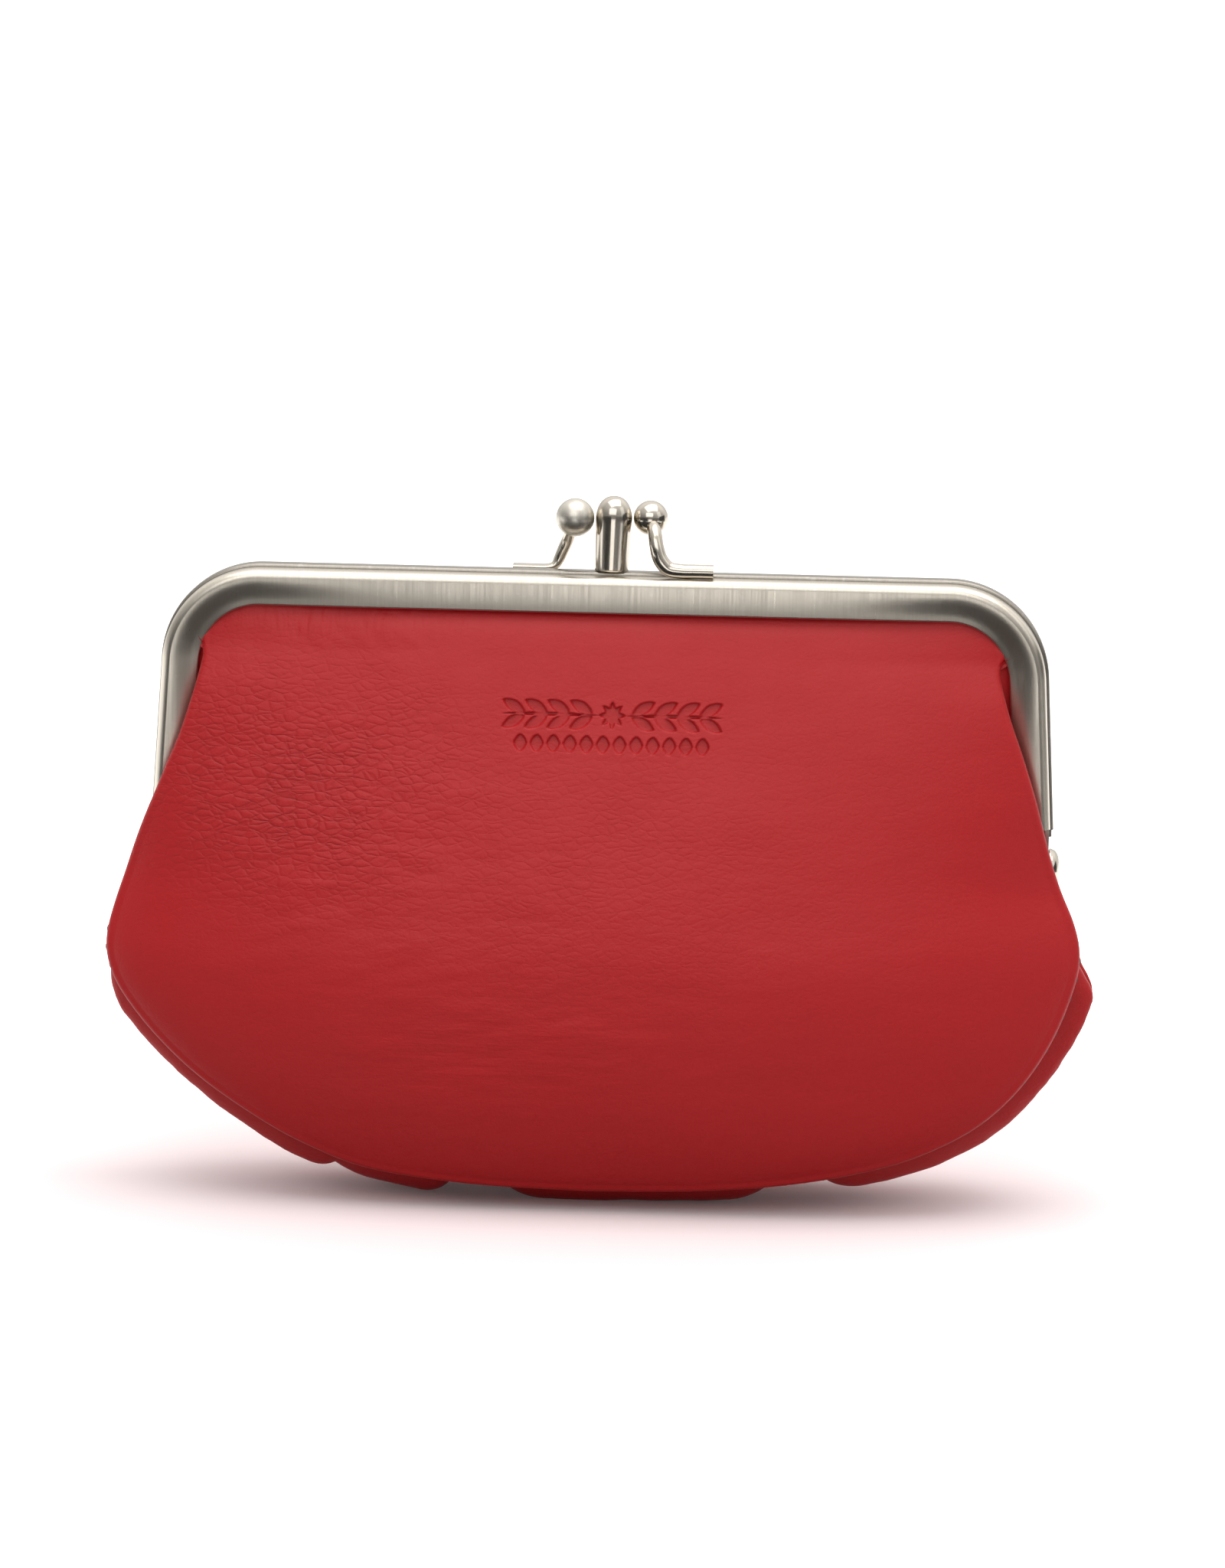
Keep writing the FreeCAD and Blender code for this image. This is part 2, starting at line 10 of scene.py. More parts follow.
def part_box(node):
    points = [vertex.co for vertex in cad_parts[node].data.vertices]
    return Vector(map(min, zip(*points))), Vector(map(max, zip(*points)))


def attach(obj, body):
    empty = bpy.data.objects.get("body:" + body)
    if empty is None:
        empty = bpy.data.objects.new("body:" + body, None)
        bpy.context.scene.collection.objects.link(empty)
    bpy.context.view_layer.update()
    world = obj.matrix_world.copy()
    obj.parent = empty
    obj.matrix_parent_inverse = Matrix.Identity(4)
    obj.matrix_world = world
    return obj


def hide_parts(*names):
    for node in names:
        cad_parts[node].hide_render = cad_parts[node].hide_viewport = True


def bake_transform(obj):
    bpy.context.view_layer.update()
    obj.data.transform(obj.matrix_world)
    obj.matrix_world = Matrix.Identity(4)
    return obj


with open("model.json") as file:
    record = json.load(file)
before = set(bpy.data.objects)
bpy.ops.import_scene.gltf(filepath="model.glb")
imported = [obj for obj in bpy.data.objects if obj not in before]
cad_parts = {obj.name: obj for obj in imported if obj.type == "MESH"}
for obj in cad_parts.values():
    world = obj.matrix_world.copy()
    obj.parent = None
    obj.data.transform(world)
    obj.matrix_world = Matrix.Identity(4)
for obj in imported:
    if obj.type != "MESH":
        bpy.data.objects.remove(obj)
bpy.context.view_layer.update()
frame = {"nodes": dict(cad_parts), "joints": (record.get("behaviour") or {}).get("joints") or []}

# Shapes are worked out in millimetres, with depth counted forwards from the middle leaf, and are
# turned into metres when a mesh is made: (x, depth, z) becomes (x, -depth, z) / 1000.
MM = 0.001


def box_mm(node):
    """The lower and upper corner of a CAD node, in mm."""
    low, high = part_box(node)
    return low / MM, high / MM


# ---- sizes taken from the frame ----
LEAF_LOW, LEAF_HIGH = box_mm("front_frame_leaf")
FRAME_TOP = LEAF_HIGH.z
HINGE_Z = frame["joints"][0]["pos_m"][2] / MM
LEAF_FAR = -LEAF_LOW.y
MIDDLE_HALF = 1.5
LEAF_NEAR = MIDDLE_HALF + 0.3
FRONT_BALL_LOW, FRONT_BALL_HIGH = box_mm("front_clasp_ball")
REAR_BALL_LOW, REAR_BALL_HIGH = box_mm("rear_clasp_ball")
POST_LOW, POST_HIGH = box_mm("middle_clasp_post")
CLASP_X = (POST_LOW.x + POST_HIGH.x) / 2
RIVET_LOW, RIVET_HIGH = box_mm("hinge_rivet_right")

# ---- sizes of the frame's sections and of the leather ----
LEG_HALF_WIDTH = 64.6
LEG_FLARE = math.radians(3.2)
CORNER_RADIUS = 14.0
LIP_WIDTH = 5.2
FLANGE_WIDTH = 4.2
SHEET_METAL = 0.6
LEG_END = 55.5
EAR_RADIUS = 3.6
CORNER_X = LEG_HALF_WIDTH - (FRAME_TOP - HINGE_Z) * math.tan(LEG_FLARE)
CORNER_CENTRE_X = CORNER_X - CORNER_RADIUS * math.tan((math.pi / 2 - LEG_FLARE) / 2)
CORNER_CENTRE_Z = FRAME_TOP - CORNER_RADIUS
LEATHER = 1.0
EDGE_ROLL = 1.05
FAN_CENTRE_Z = 42.0
MARK_X = 1.8
MARK_DEPTH = 0.55
SPRIG_Z = 70.9
LOZENGE_Z = 66.9
EDGE_POINTS = 900


# ---- small helpers ----

def smooth_curve(points, x):
    """A smooth curve through a few points (x, y), read at x: a Catmull-Rom spline with clamped slopes."""
    px = np.array([p[0] for p in points], float)
    py = np.array([p[1] for p in points], float)
    step = np.diff(px)
    rise = np.diff(py) / step
    slope = np.zeros(len(px))
    slope[0], slope[-1] = rise[0], rise[-1]
    same = rise[:-1] * rise[1:] > 0
    mean = 2 * rise[:-1] * rise[1:] / np.where(same, rise[:-1] + rise[1:], 1.0)
    slope[1:-1] = np.where(same, mean, 0.0)
    x = np.clip(np.asarray(x, float), px[0], px[-1])
    i = np.clip(np.searchsorted(px, x) - 1, 0, len(px) - 2)
    t = (x - px[i]) / step[i]
    h = step[i]
    return (
        py[i] * (2 * t**3 - 3 * t**2 + 1)
        + h * slope[i] * (t**3 - 2 * t**2 + t)
        + py[i + 1] * (3 * t**2 - 2 * t**3)
        + h * slope[i + 1] * (t**3 - t**2)
    )


def smoothstep(low, high, x):
    """Rises smoothly from 0 at low to 1 at high."""
    t = np.clip((np.asarray(x, float) - low) / (high - low), 0, 1)
    return t * t * (3 - 2 * t)


def wavy(points, scale, seed, octaves):
    """Fractal noise from -1 to 1 at each row of points; scale is a size per axis, in mm."""
    scale = np.array(scale, float)
    shift = Vector((17.3 * seed, 9.1 * seed, 5.7 * seed))
    rows = points / scale
    return np.array([noise.fractal(Vector(r) + shift, 0.7, 2.1, octaves) for r in rows])


def to_metres(points, side=1):
    """Rows of (x, depth, z) in mm as (x, y, z) in metres. Side 1 is the front, -1 the rear."""
    out = np.array(points, float) * MM
    out[:, 1] *= -side
    return out


def add_object(name, data):
    """A new object in the scene."""
    obj = bpy.data.objects.new(name, data)
    bpy.context.scene.collection.objects.link(obj)
    return obj


def make_mesh(name, points, faces, material, flip=False, smooth_angle=60.0):
    """A mesh object with smooth faces, sharp where they meet at more than an angle."""
    mesh = bpy.data.meshes.new(name)
    if flip:
        faces = [tuple(reversed(f)) for f in faces]
    mesh.from_pydata([tuple(p) for p in points], [], faces)
    mesh.polygons.foreach_set("use_smooth", [True] * len(mesh.polygons))
    mesh.set_sharp_from_angle(angle=math.radians(smooth_angle))
    mesh.materials.append(material)
    return add_object(name, mesh)


def grid_faces(rows, columns, closed=False):
    """Quads between the points of a grid that is stored row by row; each row can be a closed ring."""
    faces = []
    for r in range(rows - 1):
        row, above = r * columns, (r + 1) * columns
        for c in range(columns if closed else columns - 1):
            after = (c + 1) % columns
            faces.append((row + c, row + after, above + after, above + c))
    return faces


def disc_faces(rings, count, hub):
    """Rings of points round one point, the hub, closed up to it."""
    faces = grid_faces(rings, count, closed=True)
    return faces + [(hub, (i + 1) % count, i) for i in range(count)]


def tube_faces(rings, count):
    """Rings of points along a tube, closed at both ends."""
    last = (rings - 1) * count
    faces = grid_faces(rings, count, closed=True)
    return faces + [tuple(range(count)), tuple(reversed(range(last, last + count)))]


def thicken(obj, amount_mm, offset=-1.0):
    """Gives a sheet its thickness, as real geometry."""
    solid = obj.modifiers.new("thickness", "SOLIDIFY")
    solid.thickness = amount_mm * MM
    solid.offset = offset
    depsgraph = bpy.context.evaluated_depsgraph_get()
    mesh = bpy.data.meshes.new_from_object(obj.evaluated_get(depsgraph))
    obj.modifiers.clear()
    old = obj.data
    obj.data = mesh
    bpy.data.meshes.remove(old)


def face_outwards(obj, merge_mm=0.0):
    """Turns a closed mesh's faces outwards, after points closer than a distance are made one."""
    mesh = bmesh.new()
    mesh.from_mesh(obj.data)
    if merge_mm:
        bmesh.ops.remove_doubles(mesh, verts=mesh.verts, dist=merge_mm * MM)
    bmesh.ops.recalc_face_normals(mesh, faces=mesh.faces)
    mesh.to_mesh(obj.data)
    mesh.free()


def join(name, objects):
    """Several mesh objects made one, under a new name."""
    with bpy.context.temp_override(active_object=objects[0], selected_editable_objects=objects):
        bpy.ops.object.join()
    objects[0].name = name
    objects[0].data.name = name
    return objects[0]


# ---- materials ----

class Nodes:
    """A new node material, with short ways to add and link its nodes."""

    def __init__(self, name):
        self.material = bpy.data.materials.new(name)
        self.material.use_nodes = True
        self.tree = self.material.node_tree
        self.tree.nodes.clear()
        self.shader = self.add("ShaderNodeBsdfPrincipled")
        self.add("ShaderNodeOutputMaterial", {"Surface": self.shader.outputs["BSDF"]})
        self.coordinates = self.add("ShaderNodeTexCoord").outputs["Object"]

    def add(self, kind, inputs=None, **values):
        """A node, with its settings. Each input takes a constant or a link from another node."""
        node = self.tree.nodes.new(kind)
        for key, value in values.items():
            setattr(node, key, value)
        for key, value in (inputs or {}).items():
            self.feed(node.inputs[key], value)
        return node

    def feed(self, socket, value):
        if isinstance(value, bpy.types.NodeSocket):
            self.tree.links.new(value, socket)
        else:
            socket.default_value = value

    def set(self, **values):
        """Sets inputs of the shader, named with _ for a space."""
        for key, value in values.items():
            self.feed(self.shader.inputs[key.replace("_", " ")], value)

    def mapped(self, scale, turn=(0, 0, 0), place=(0, 0, 0), vector=None):
        inputs = {"Scale": scale, "Rotation": turn, "Location": place}
        inputs["Vector"] = vector or self.coordinates
        return self.add("ShaderNodeMapping", inputs).outputs["Vector"]

    def noise(self, scale, detail=3.0, roughness=0.5, vector=None, output="Fac"):
        inputs = {"Scale": scale, "Detail": detail, "Roughness": roughness}
        inputs["Vector"] = vector or self.coordinates
        return self.add("ShaderNodeTexNoise", inputs).outputs[output]

    def cells(self, scale, vector=None):
        """The distance to the edge of the nearest of many cells."""
        inputs = {"Scale": scale, "Vector": vector or self.coordinates}
        node = self.add("ShaderNodeTexVoronoi", inputs, feature="DISTANCE_TO_EDGE")
        return node.outputs["Distance"]

    def distance(self, vector):
        """How far a vector reaches."""
        return self.add("ShaderNodeVectorMath", {0: vector}, operation="LENGTH").outputs["Value"]

    def ramp(self, value, stops):
        """A value passed through a ramp of (position, grey or colour)."""
        node = self.add("ShaderNodeValToRGB", {"Fac": value})
        while len(node.color_ramp.elements) < len(stops):
            node.color_ramp.elements.new(0.5)
        for element, (position, colour) in zip(node.color_ramp.elements, stops):
            element.position = position
            grey = not hasattr(colour, "__len__")
            element.color = (colour, colour, colour, 1) if grey else (*colour, 1)
        return node.outputs["Color"]

    def math(self, operation, *values, clamp=False):
        inputs = dict(enumerate(values))
        node = self.add("ShaderNodeMath", inputs, operation=operation, use_clamp=clamp)
        return node.outputs["Value"]

    def times(self, a, b):
        return self.math("MULTIPLY", a, b)

    def plus(self, a, b):
        return self.math("ADD", a, b)

    def inverse(self, value):
        return self.math("SUBTRACT", 1.0, value)

    def bump(self, height, strength, distance_mm, below=None):
        inputs = {"Height": height, "Strength": strength, "Distance": distance_mm * MM}
        if below is not None:
            inputs["Normal"] = below
        return self.add("ShaderNodeBump", inputs).outputs["Normal"]

    def mix(self, factor, a, b):
        """Mixes two colours, each a socket or three numbers, by a socket or a number."""
        node = self.add("ShaderNodeMix", data_type="RGBA")
        for (name, kind), value in {("Factor", "VALUE"): factor, ("A", "RGBA"): a, ("B", "RGBA"): b}.items():
            socket = next(s for s in node.inputs if s.name == name and s.type == kind)
            self.feed(socket, (*value, 1) if isinstance(value, tuple) else value)
        return next(o for o in node.outputs if o.type == "RGBA")


def patch(n, centre_mm, reach_mm, full, none):
    """A soft patch of 1 round a place on the front, fading to 0: centre and reach are in (x, z)."""
    scale = (1 / (reach_mm[0] * MM), 0.0, 1 / (reach_mm[1] * MM))
    place = (-centre_mm[0] * MM * scale[0], 0.0, -centre_mm[1] * MM * scale[2])
    return n.ramp(n.distance(n.mapped(scale, place=place)), [(full, 1.0), (none, 0.0)])


def leather_material(name, base, deep):
    """Smooth nappa: a fine pebble all over, a net of soft creases where it has been flexed, and painted
    shade that darkens the creases towards a deeper red."""
    n = Nodes(name)
    mottled = n.noise(120.0, 4.0)
    fine = n.noise(2600.0, 3.0, 0.6)
    pebble = n.ramp(n.cells(1500.0), [(0.0, 0.0), (0.22, 0.8), (0.6, 1.0)])
    shift = {0: n.noise(420.0, 2.0, output="Color"), 1: (0.0007, 0.0007, 0.0007), 2: n.coordinates}
    warp = n.add("ShaderNodeVectorMath", shift, operation="MULTIPLY_ADD")
    flat = n.mapped((0.62, 0.9, 1.35), vector=warp.outputs["Vector"])
    net = n.ramp(n.cells(760.0, flat), [(0.0, 0.0), (0.16, 0.6), (0.5, 1.0)])
    long_net = n.ramp(n.cells(300.0, flat), [(0.0, 0.0), (0.05, 0.8), (0.16, 1.0)])
    on_middle = n.times(patch(n, (-5, 52), (60, 34), 0.2, 1.0), 0.35)
    flexed = n.math("MAXIMUM", patch(n, (-44, 60), (40, 24), 0.25, 1.05), on_middle)
    flexed = n.math("MAXIMUM", flexed, 0.12)
    grain = n.times(flexed, n.ramp(mottled, [(0.25, 0.45), (0.65, 1.0)]))
    creases = n.times(n.inverse(net), grain)
    long_creases = n.times(n.inverse(long_net), n.times(grain, grain))
    slanted = n.noise(1.0, 3.0, 0.6, vector=n.mapped((90.0, 60.0, 760.0), (0.0, 0.32, 0.0)))
    scuffs = n.times(slanted, patch(n, (-16, 24), (36, 13), 0.2, 1.0))
    tint = n.mix(n.times(mottled, 0.35), base, deep)
    # Painted shade: the creases are darkened towards the deeper red, standing in for shade falling in them.
    dark = n.math("ADD", n.times(creases, 0.18), n.times(long_creases, 0.12), clamp=True)
    tint = n.mix(dark, tint, tuple(c * 0.55 for c in deep))
    n.set(Base_Color=tint, Roughness=n.plus(n.times(mottled, 0.14), 0.40))
    tucks = n.noise(1.0, 2.0, 0.5, vector=n.mapped((560.0, 200.0, 190.0), (0.0, -0.75, 0.0)))
    tucks = n.times(tucks, patch(n, (-36, 84.5), (30, 5.5), 0.3, 1.0))
    normal = n.bump(n.inverse(creases), 0.8, 0.17)
    normal = n.bump(n.inverse(long_creases), 0.6, 0.10, normal)
    normal = n.bump(scuffs, 0.8, 0.22, normal)
    normal = n.bump(tucks, 0.8, 0.5, normal)
    normal = n.bump(pebble, 0.32, 0.035, normal)
    n.set(Normal=n.bump(fine, 0.35, 0.025, normal))
    n.set(Specular_IOR_Level=0.36, Sheen_Weight=0.05, Sheen_Roughness=0.4)
    return n.material


def brushed_material(name, base, low, high):
    """Nickel plate brushed up and down: fine upright scratches in its gloss and its surface."""
    n = Nodes(name)
    streaks = n.mapped((3400.0, 1500.0, 60.0))
    fine = n.ramp(n.noise(1.0, 3.0, 0.65, vector=streaks), [(0.2, 0.0), (0.8, 1.0)])
    wide = n.noise(1.0, 2.0, 0.5, vector=n.mapped((420.0, 200.0, 9.0)))
    dust = n.ramp(n.noise(900.0, 2.0), [(0.62, 0.0), (0.7, 1.0)])
    dark = tuple(c * 0.80 for c in base)
    tint = n.mix(n.times(fine, 0.7), base, dark)
    tint = n.mix(n.times(dust, 0.10), tint, (0.9, 0.88, 0.84))
    n.set(Base_Color=tint)
    spread = n.plus(n.times(fine, high - low), low)
    spread = n.plus(spread, n.times(wide, 0.06))
    n.set(Roughness=spread)
    n.set(Normal=n.bump(fine, 0.16, 0.012), Metallic=1.0)
    return n.material


def polished_material(name, base):
    """Polished nickel plate, with faint smears and a slightly uneven surface."""
    n = Nodes(name)
    smears = n.noise(220.0, 4.0, 0.6)
    specks = n.noise(2600.0, 2.0)
    warm = tuple(c * f for c, f in zip(base, (0.97, 0.93, 0.87)))
    tint = n.mix(smears, base, warm)
    n.set(Base_Color=tint)
    n.set(Roughness=n.plus(n.times(smears, 0.12), 0.10))
    n.set(Normal=n.bump(specks, 0.05, 0.01), Metallic=1.0)
    return n.material


def weave_material(name, base, pitch_mm, gloss):
    """A plain weave: two crossing sets of threads, with a little unevenness, and a painted highlight that
    lightens the raised crossings of the threads.
    """
    n = Nodes(name)
    per_metre = 2 * math.pi / (pitch_mm * MM)
    split = n.add("ShaderNodeSeparateXYZ", {"Vector": n.coordinates})
    across = n.math("SINE", n.times(split.outputs["X"], per_metre))
    upright = n.math("SINE", n.times(split.outputs["Z"], per_metre))
    over = n.times(across, upright)
    height = n.plus(n.times(over, 0.5), 0.5)
    uneven = n.noise(600.0, 3.0)
    # Painted highlight: the raised crossings of the threads are lightened, as light would catch them.
    light = tuple(min(1.0, c * 1.7 + 0.01) for c in base)
    tint = n.mix(n.times(height, uneven), base, light)
    n.set(Base_Color=tint)
    n.set(Roughness=n.plus(n.times(uneven, 0.2), gloss))
    n.set(Normal=n.bump(height, 0.5, 0.08))
    n.set(Sheen_Weight=0.04, Specular_IOR_Level=0.25)
    return n.material


def twisted_material(name, base, pitch_mm):
    """A twisted cord or thread: slanting strands."""
    n = Nodes(name)
    slanted = n.mapped((1.0 / (pitch_mm * MM),) * 3, (0.0, 0.6, 0.0))
    bands = {"Scale": 0.5, "Distortion": 0.6, "Vector": slanted}
    wave = n.add("ShaderNodeTexWave", bands, wave_type="BANDS")
    strands = wave.outputs["Fac"]
    shaded = tuple(c * 0.6 for c in base)
    n.set(Base_Color=n.mix(strands, shaded, base))
    n.set(Normal=n.bump(strands, 0.6, 0.05), Roughness=0.7)
    return n.material


RED = leather_material("red_leather", (0.44, 0.0060, 0.0085), (0.37, 0.0042, 0.006))
BRUSHED = brushed_material("brushed_nickel", (0.73, 0.67, 0.58), 0.23, 0.34)
POLISHED = polished_material("polished_nickel", (0.60, 0.56, 0.50))
# The middle leaf is the same nickel as the outer leaves, in a darker copy: painted shade for the gap between
# the leaves.
SHADED_NICKEL = brushed_material("middle_leaf_shaded_nickel", (0.36, 0.33, 0.29), 0.24, 0.36)
SATIN = brushed_material("satin_nickel", (0.68, 0.64, 0.57), 0.28, 0.42)
LINING = weave_material("lining_weave", (0.028, 0.010, 0.011), 0.5, 0.6)
PAPER = twisted_material("paper_twist", (0.50, 0.38, 0.22), 1.2)
THREAD = twisted_material("thread_twist", (0.10, 0.006, 0.008), 0.5)


# ---- the outline that the leather panels share ----

# The panel's visible edge from the middle of its bottom seam, up one side to the frame, as (x, z). The
# purse is a little fuller low on its right and wider on its left, as a soft one is.
RIGHT_EDGE = [
    (0.0, 3.0),
    (17.0, 3.6),
    (30.0, 5.0),
    (41.4, 7.4),
    (49.0, 10.2),
    (55.6, 14.0),
    (61.0, 19.2),
    (65.2, 25.6),
    (67.9, 32.2),
    (69.0, 37.4),
    (68.1, 42.2),
    (66.0, 47.0),
    (64.3, 52.0),
    (63.1, 56.4),
    (61.8, 61.0),
    (60.0, 66.4),
    (58.0, 71.8),
    (56.8, 76.0),
    (56.2, 79.0),
]
LEFT_EDGE = [
    (0.0, 3.0),
    (17.0, 3.6),
    (32.0, 5.4),
    (40.8, 8.5),
    (47.4, 11.8),
    (56.4, 17.6),
    (63.2, 23.6),
    (68.2, 29.6),
    (70.1, 33.8),
    (70.3, 37.4),
    (69.2, 42.0),
    (67.9, 46.0),
    (66.5, 50.4),
    (64.8, 55.0),
    (63.2, 58.8),
    (61.8, 62.4),
    (60.2, 66.2),
    (58.3, 72.4),
    (57.4, 76.0),
    (56.9, 79.0),
]


def lip_arc():
    """The inner edge of the frame's face round the right-hand corner."""
    radius = CORNER_RADIUS - LIP_WIDTH
    turns = np.radians(np.linspace(30, 90, 7))
    return [(CORNER_CENTRE_X + radius * math.cos(a), CORNER_CENTRE_Z + radius * math.sin(a)) for a in turns]


def half_outline(edge):
    """One half of the outline, from the middle of the bottom to the middle of the top, finely divided."""
    corners = np.array(edge + lip_arc(), float)
    curve = spline_through(corners, EDGE_POINTS)
    top = np.linspace(curve[-1], [0.0, FRAME_TOP - LIP_WIDTH], 200)[1:]
    return np.concatenate([curve, top])


def spline_through(points, count):
    """A smooth line through points (Catmull-Rom), with count points."""
    padded = np.concatenate([[2 * points[0] - points[1]], points, [2 * points[-1] - points[-2]]])
    value = np.linspace(0, len(points) - 1, count)
    i = np.minimum(value.astype(int), len(points) - 2)
    t = (value - i)[:, None]
    a, b, c, d = (padded[i + k] for k in range(4))
    bend = (2 * a - 5 * b + 4 * c - d) * t**2 + (3 * b - a - 3 * c + d) * t**3
    return 0.5 * (2 * b + (c - a) * t + bend)


RIGHT_HALF = half_outline(RIGHT_EDGE)
LEFT_HALF = half_outline(LEFT_EDGE)


def panel_half_width(x, z):
    """How far the panel's edge is from the middle at a height, on the side that x is on."""
    right = np.interp(z, RIGHT_HALF[:EDGE_POINTS, 1], RIGHT_HALF[:EDGE_POINTS, 0])
    left = np.interp(z, LEFT_HALF[:EDGE_POINTS, 1], LEFT_HALF[:EDGE_POINTS, 0])
    return np.where(np.asarray(x) > 0, right, left)


# How far forward the front panel's outer face is at each height, beside its edge and in its middle, as
# (z, depth).
EDGE_DEPTHS = [
    (3.0, 13.6),
    (20.0, 10.4),
    (34.0, 7.6),
    (46.0, 6.2),
    (54.0, 7.2),
    (60.0, 7.8),
    (68.0, 7.5),
    (73.0, 6.8),
    (77.0, 5.2),
    (79.5, 4.0),
    (81.5, 3.75),
    (84.8, 3.7),
]
MIDDLE_DEPTHS = [
    (3.0, 13.8),
    (5.0, 15.8),
    (8.0, 17.5),
    (12.0, 19.0),
    (18.0, 20.2),
    (26.0, 20.7),
    (34.0, 20.2),
    (44.0, 18.2),
    (54.0, 15.3),
    (64.0, 12.0),
    (72.0, 9.3),
    (78.0, 7.2),
    (82.0, 5.5),
    (83.8, 4.3),
    (84.8, 3.75),
]


def panel_depth(x, z):
    """How far forward the panel's outer face is, over its front view."""
    edge = smooth_curve(EDGE_DEPTHS, z)
    middle = smooth_curve(MIDDLE_DEPTHS, z)
    across = np.clip(np.abs(x) / np.maximum(panel_half_width(x, z), 1.0), 0, 1)
    return edge + np.maximum(middle - edge, 0) * (1 - across**2.4) ** 0.62


def panel_outline(count):
    """The panel's closed outline in (x, z), evenly divided, from the bottom and to the right."""
    whole = np.concatenate([RIGHT_HALF, (LEFT_HALF[::-1] * [-1, 1])[1:-1]])
    line = evenly_spaced(whole, count)
    for _ in range(3):
        line = (line + 0.5 * (np.roll(line, 1, 0) + np.roll(line, -1, 0))) / 2
    inset = EDGE_ROLL * (1 - smoothstep(77.5, 81.0, line[:, 1]))
    return line - outward(line) * inset[:, None]


def evenly_spaced(points, count):
    """A closed line again, with points the same distance apart."""
    closed = np.concatenate([points, points[:1]])
    along = np.concatenate([[0], np.cumsum(np.linalg.norm(np.diff(closed, axis=0), axis=1))])
    at = np.linspace(0, along[-1], count, endpoint=False)
    return np.stack([np.interp(at, along, closed[:, k]) for k in range(closed.shape[1])], 1)


def outward(line):
    """Unit normals that point out of a closed line in (x, z)."""
    tangent = np.roll(line, -1, 0) - np.roll(line, 1, 0)
    normal = np.stack([tangent[:, 1], -tangent[:, 0]], 1)
    normal /= np.maximum(np.linalg.norm(normal, axis=1, keepdims=True), 1e-9)
    for _ in range(6):
        normal = normal + np.roll(normal, 1, 0) + np.roll(normal, -1, 0)
        normal /= np.linalg.norm(normal, axis=1, keepdims=True)
    return normal


def lip_x(z):
    """The inner edge of a leg's visible face, at a height."""
    return LEG_HALF_WIDTH - (z - HINGE_Z) * math.tan(LEG_FLARE) - LIP_WIDTH


# ---- the leather panels ----

def lip_edge(line):
    """For points of the outline beside the frame: the nearest place on the edge of the frame's face, and
    the way from there under the face, both in (x, z)."""
    sign = np.sign(line[:, 0])
    centre = np.stack([sign * CORNER_CENTRE_X, np.full(len(line), CORNER_CENTRE_Z)], 1)
    away = line - centre
    away[np.abs(line[:, 0]) < CORNER_CENTRE_X] = [0.0, 1.0]
    away /= np.maximum(np.linalg.norm(away, axis=1, keepdims=True), 1e-6)
    corner = centre + away * (CORNER_RADIUS - LIP_WIDTH)
    beside = line[:, 1] < CORNER_CENTRE_Z
    leg = np.stack([sign * lip_x(line[:, 1]), line[:, 1]], 1)
    across = np.stack([sign, 0 * sign], 1)
    return np.where(beside[:, None], leg, corner), np.where(beside[:, None], across, away)


def edge_rows(line, normal, depth):
    """The rows of a panel past its outline: rolled under at the seam, rolled back to the frame at the
    sides, and straight into the channel along the top."""
    z = line[:, 1]
    at_top = smoothstep(77.5, 81.0, z)
    at_side = smoothstep(50.0, 57.0, z) * (1 - at_top)
    at_seam = 1 - at_top - at_side
    mouth, under = lip_edge(line)
    rows = []
    for i, turn in enumerate(np.radians([22, 45, 68, 90, 112, 135, 158, 180])):
        roll = EDGE_ROLL * math.sin(turn)
        back = EDGE_ROLL * (1 - math.cos(turn))
        out = (1 - at_top) * roll + at_top * 0.3 * (i + 1)
        rows.append((line + normal * out[:, None], depth - (1 - at_top) * back))
    tucks = [(0.7, 0.05), (1.5, 0.12), (2.4, 0.16), (3.2, 0.18)]
    ways = [(-1.9, 4.5), (-1.0, 3.4), (0.4, 2.95), (1.8, 2.9)]
    for i, ((tuck, sink), (way, way_depth)) in enumerate(zip(tucks, ways)):
        seam = line - normal * tuck
        side = mouth + under * way
        top = line + normal * (2.5 + 0.25 * i)
        points = at_seam[:, None] * seam + at_side[:, None] * side + at_top[:, None] * top
        seam_depth = depth - 2 * EDGE_ROLL - sink
        top_depth = depth - 0.03 * i
        deep = at_seam * seam_depth + at_side * way_depth + at_top * top_depth
        rows.append((points, deep))
    return rows


def leaf_mark(x, z):
    """How deep a small stamped ornament is pressed, from 0 to 1: a sprig of leaves over lozenges."""
    depth = np.zeros(len(x))
    x = x - MARK_X

    def press(cx, cz, turn, long, short, edge=0.3):
        u = (x - cx) * math.cos(turn) + (z - cz) * math.sin(turn)
        w = -(x - cx) * math.sin(turn) + (z - cz) * math.cos(turn)
        inside = 1 - np.abs(u / long) ** 1.7 - np.abs(w / short) ** 1.3
        return smoothstep(0.0, edge, inside)

    for side in (-1, 1):
        for i in range(4):
            cx = side * (4.4 + 3.2 * i)
            for up in (-1, 1):
                leaf = press(cx, SPRIG_Z + up * 1.05, side * up * 0.5, 1.9, 0.84)
                depth = np.maximum(depth, leaf)
        depth = np.maximum(depth, press(side * 8.8, SPRIG_Z, 0.0, 7.4, 0.3, 0.4))
    for k in range(4):
        depth = np.maximum(depth, press(0, SPRIG_Z, k * math.pi / 4, 2.0, 0.6))
    for i in range(12):
        depth = np.maximum(depth, press((i - 5.5) * 2.35, LOZENGE_Z, 0.0, 1.0, 1.3))
    return depth


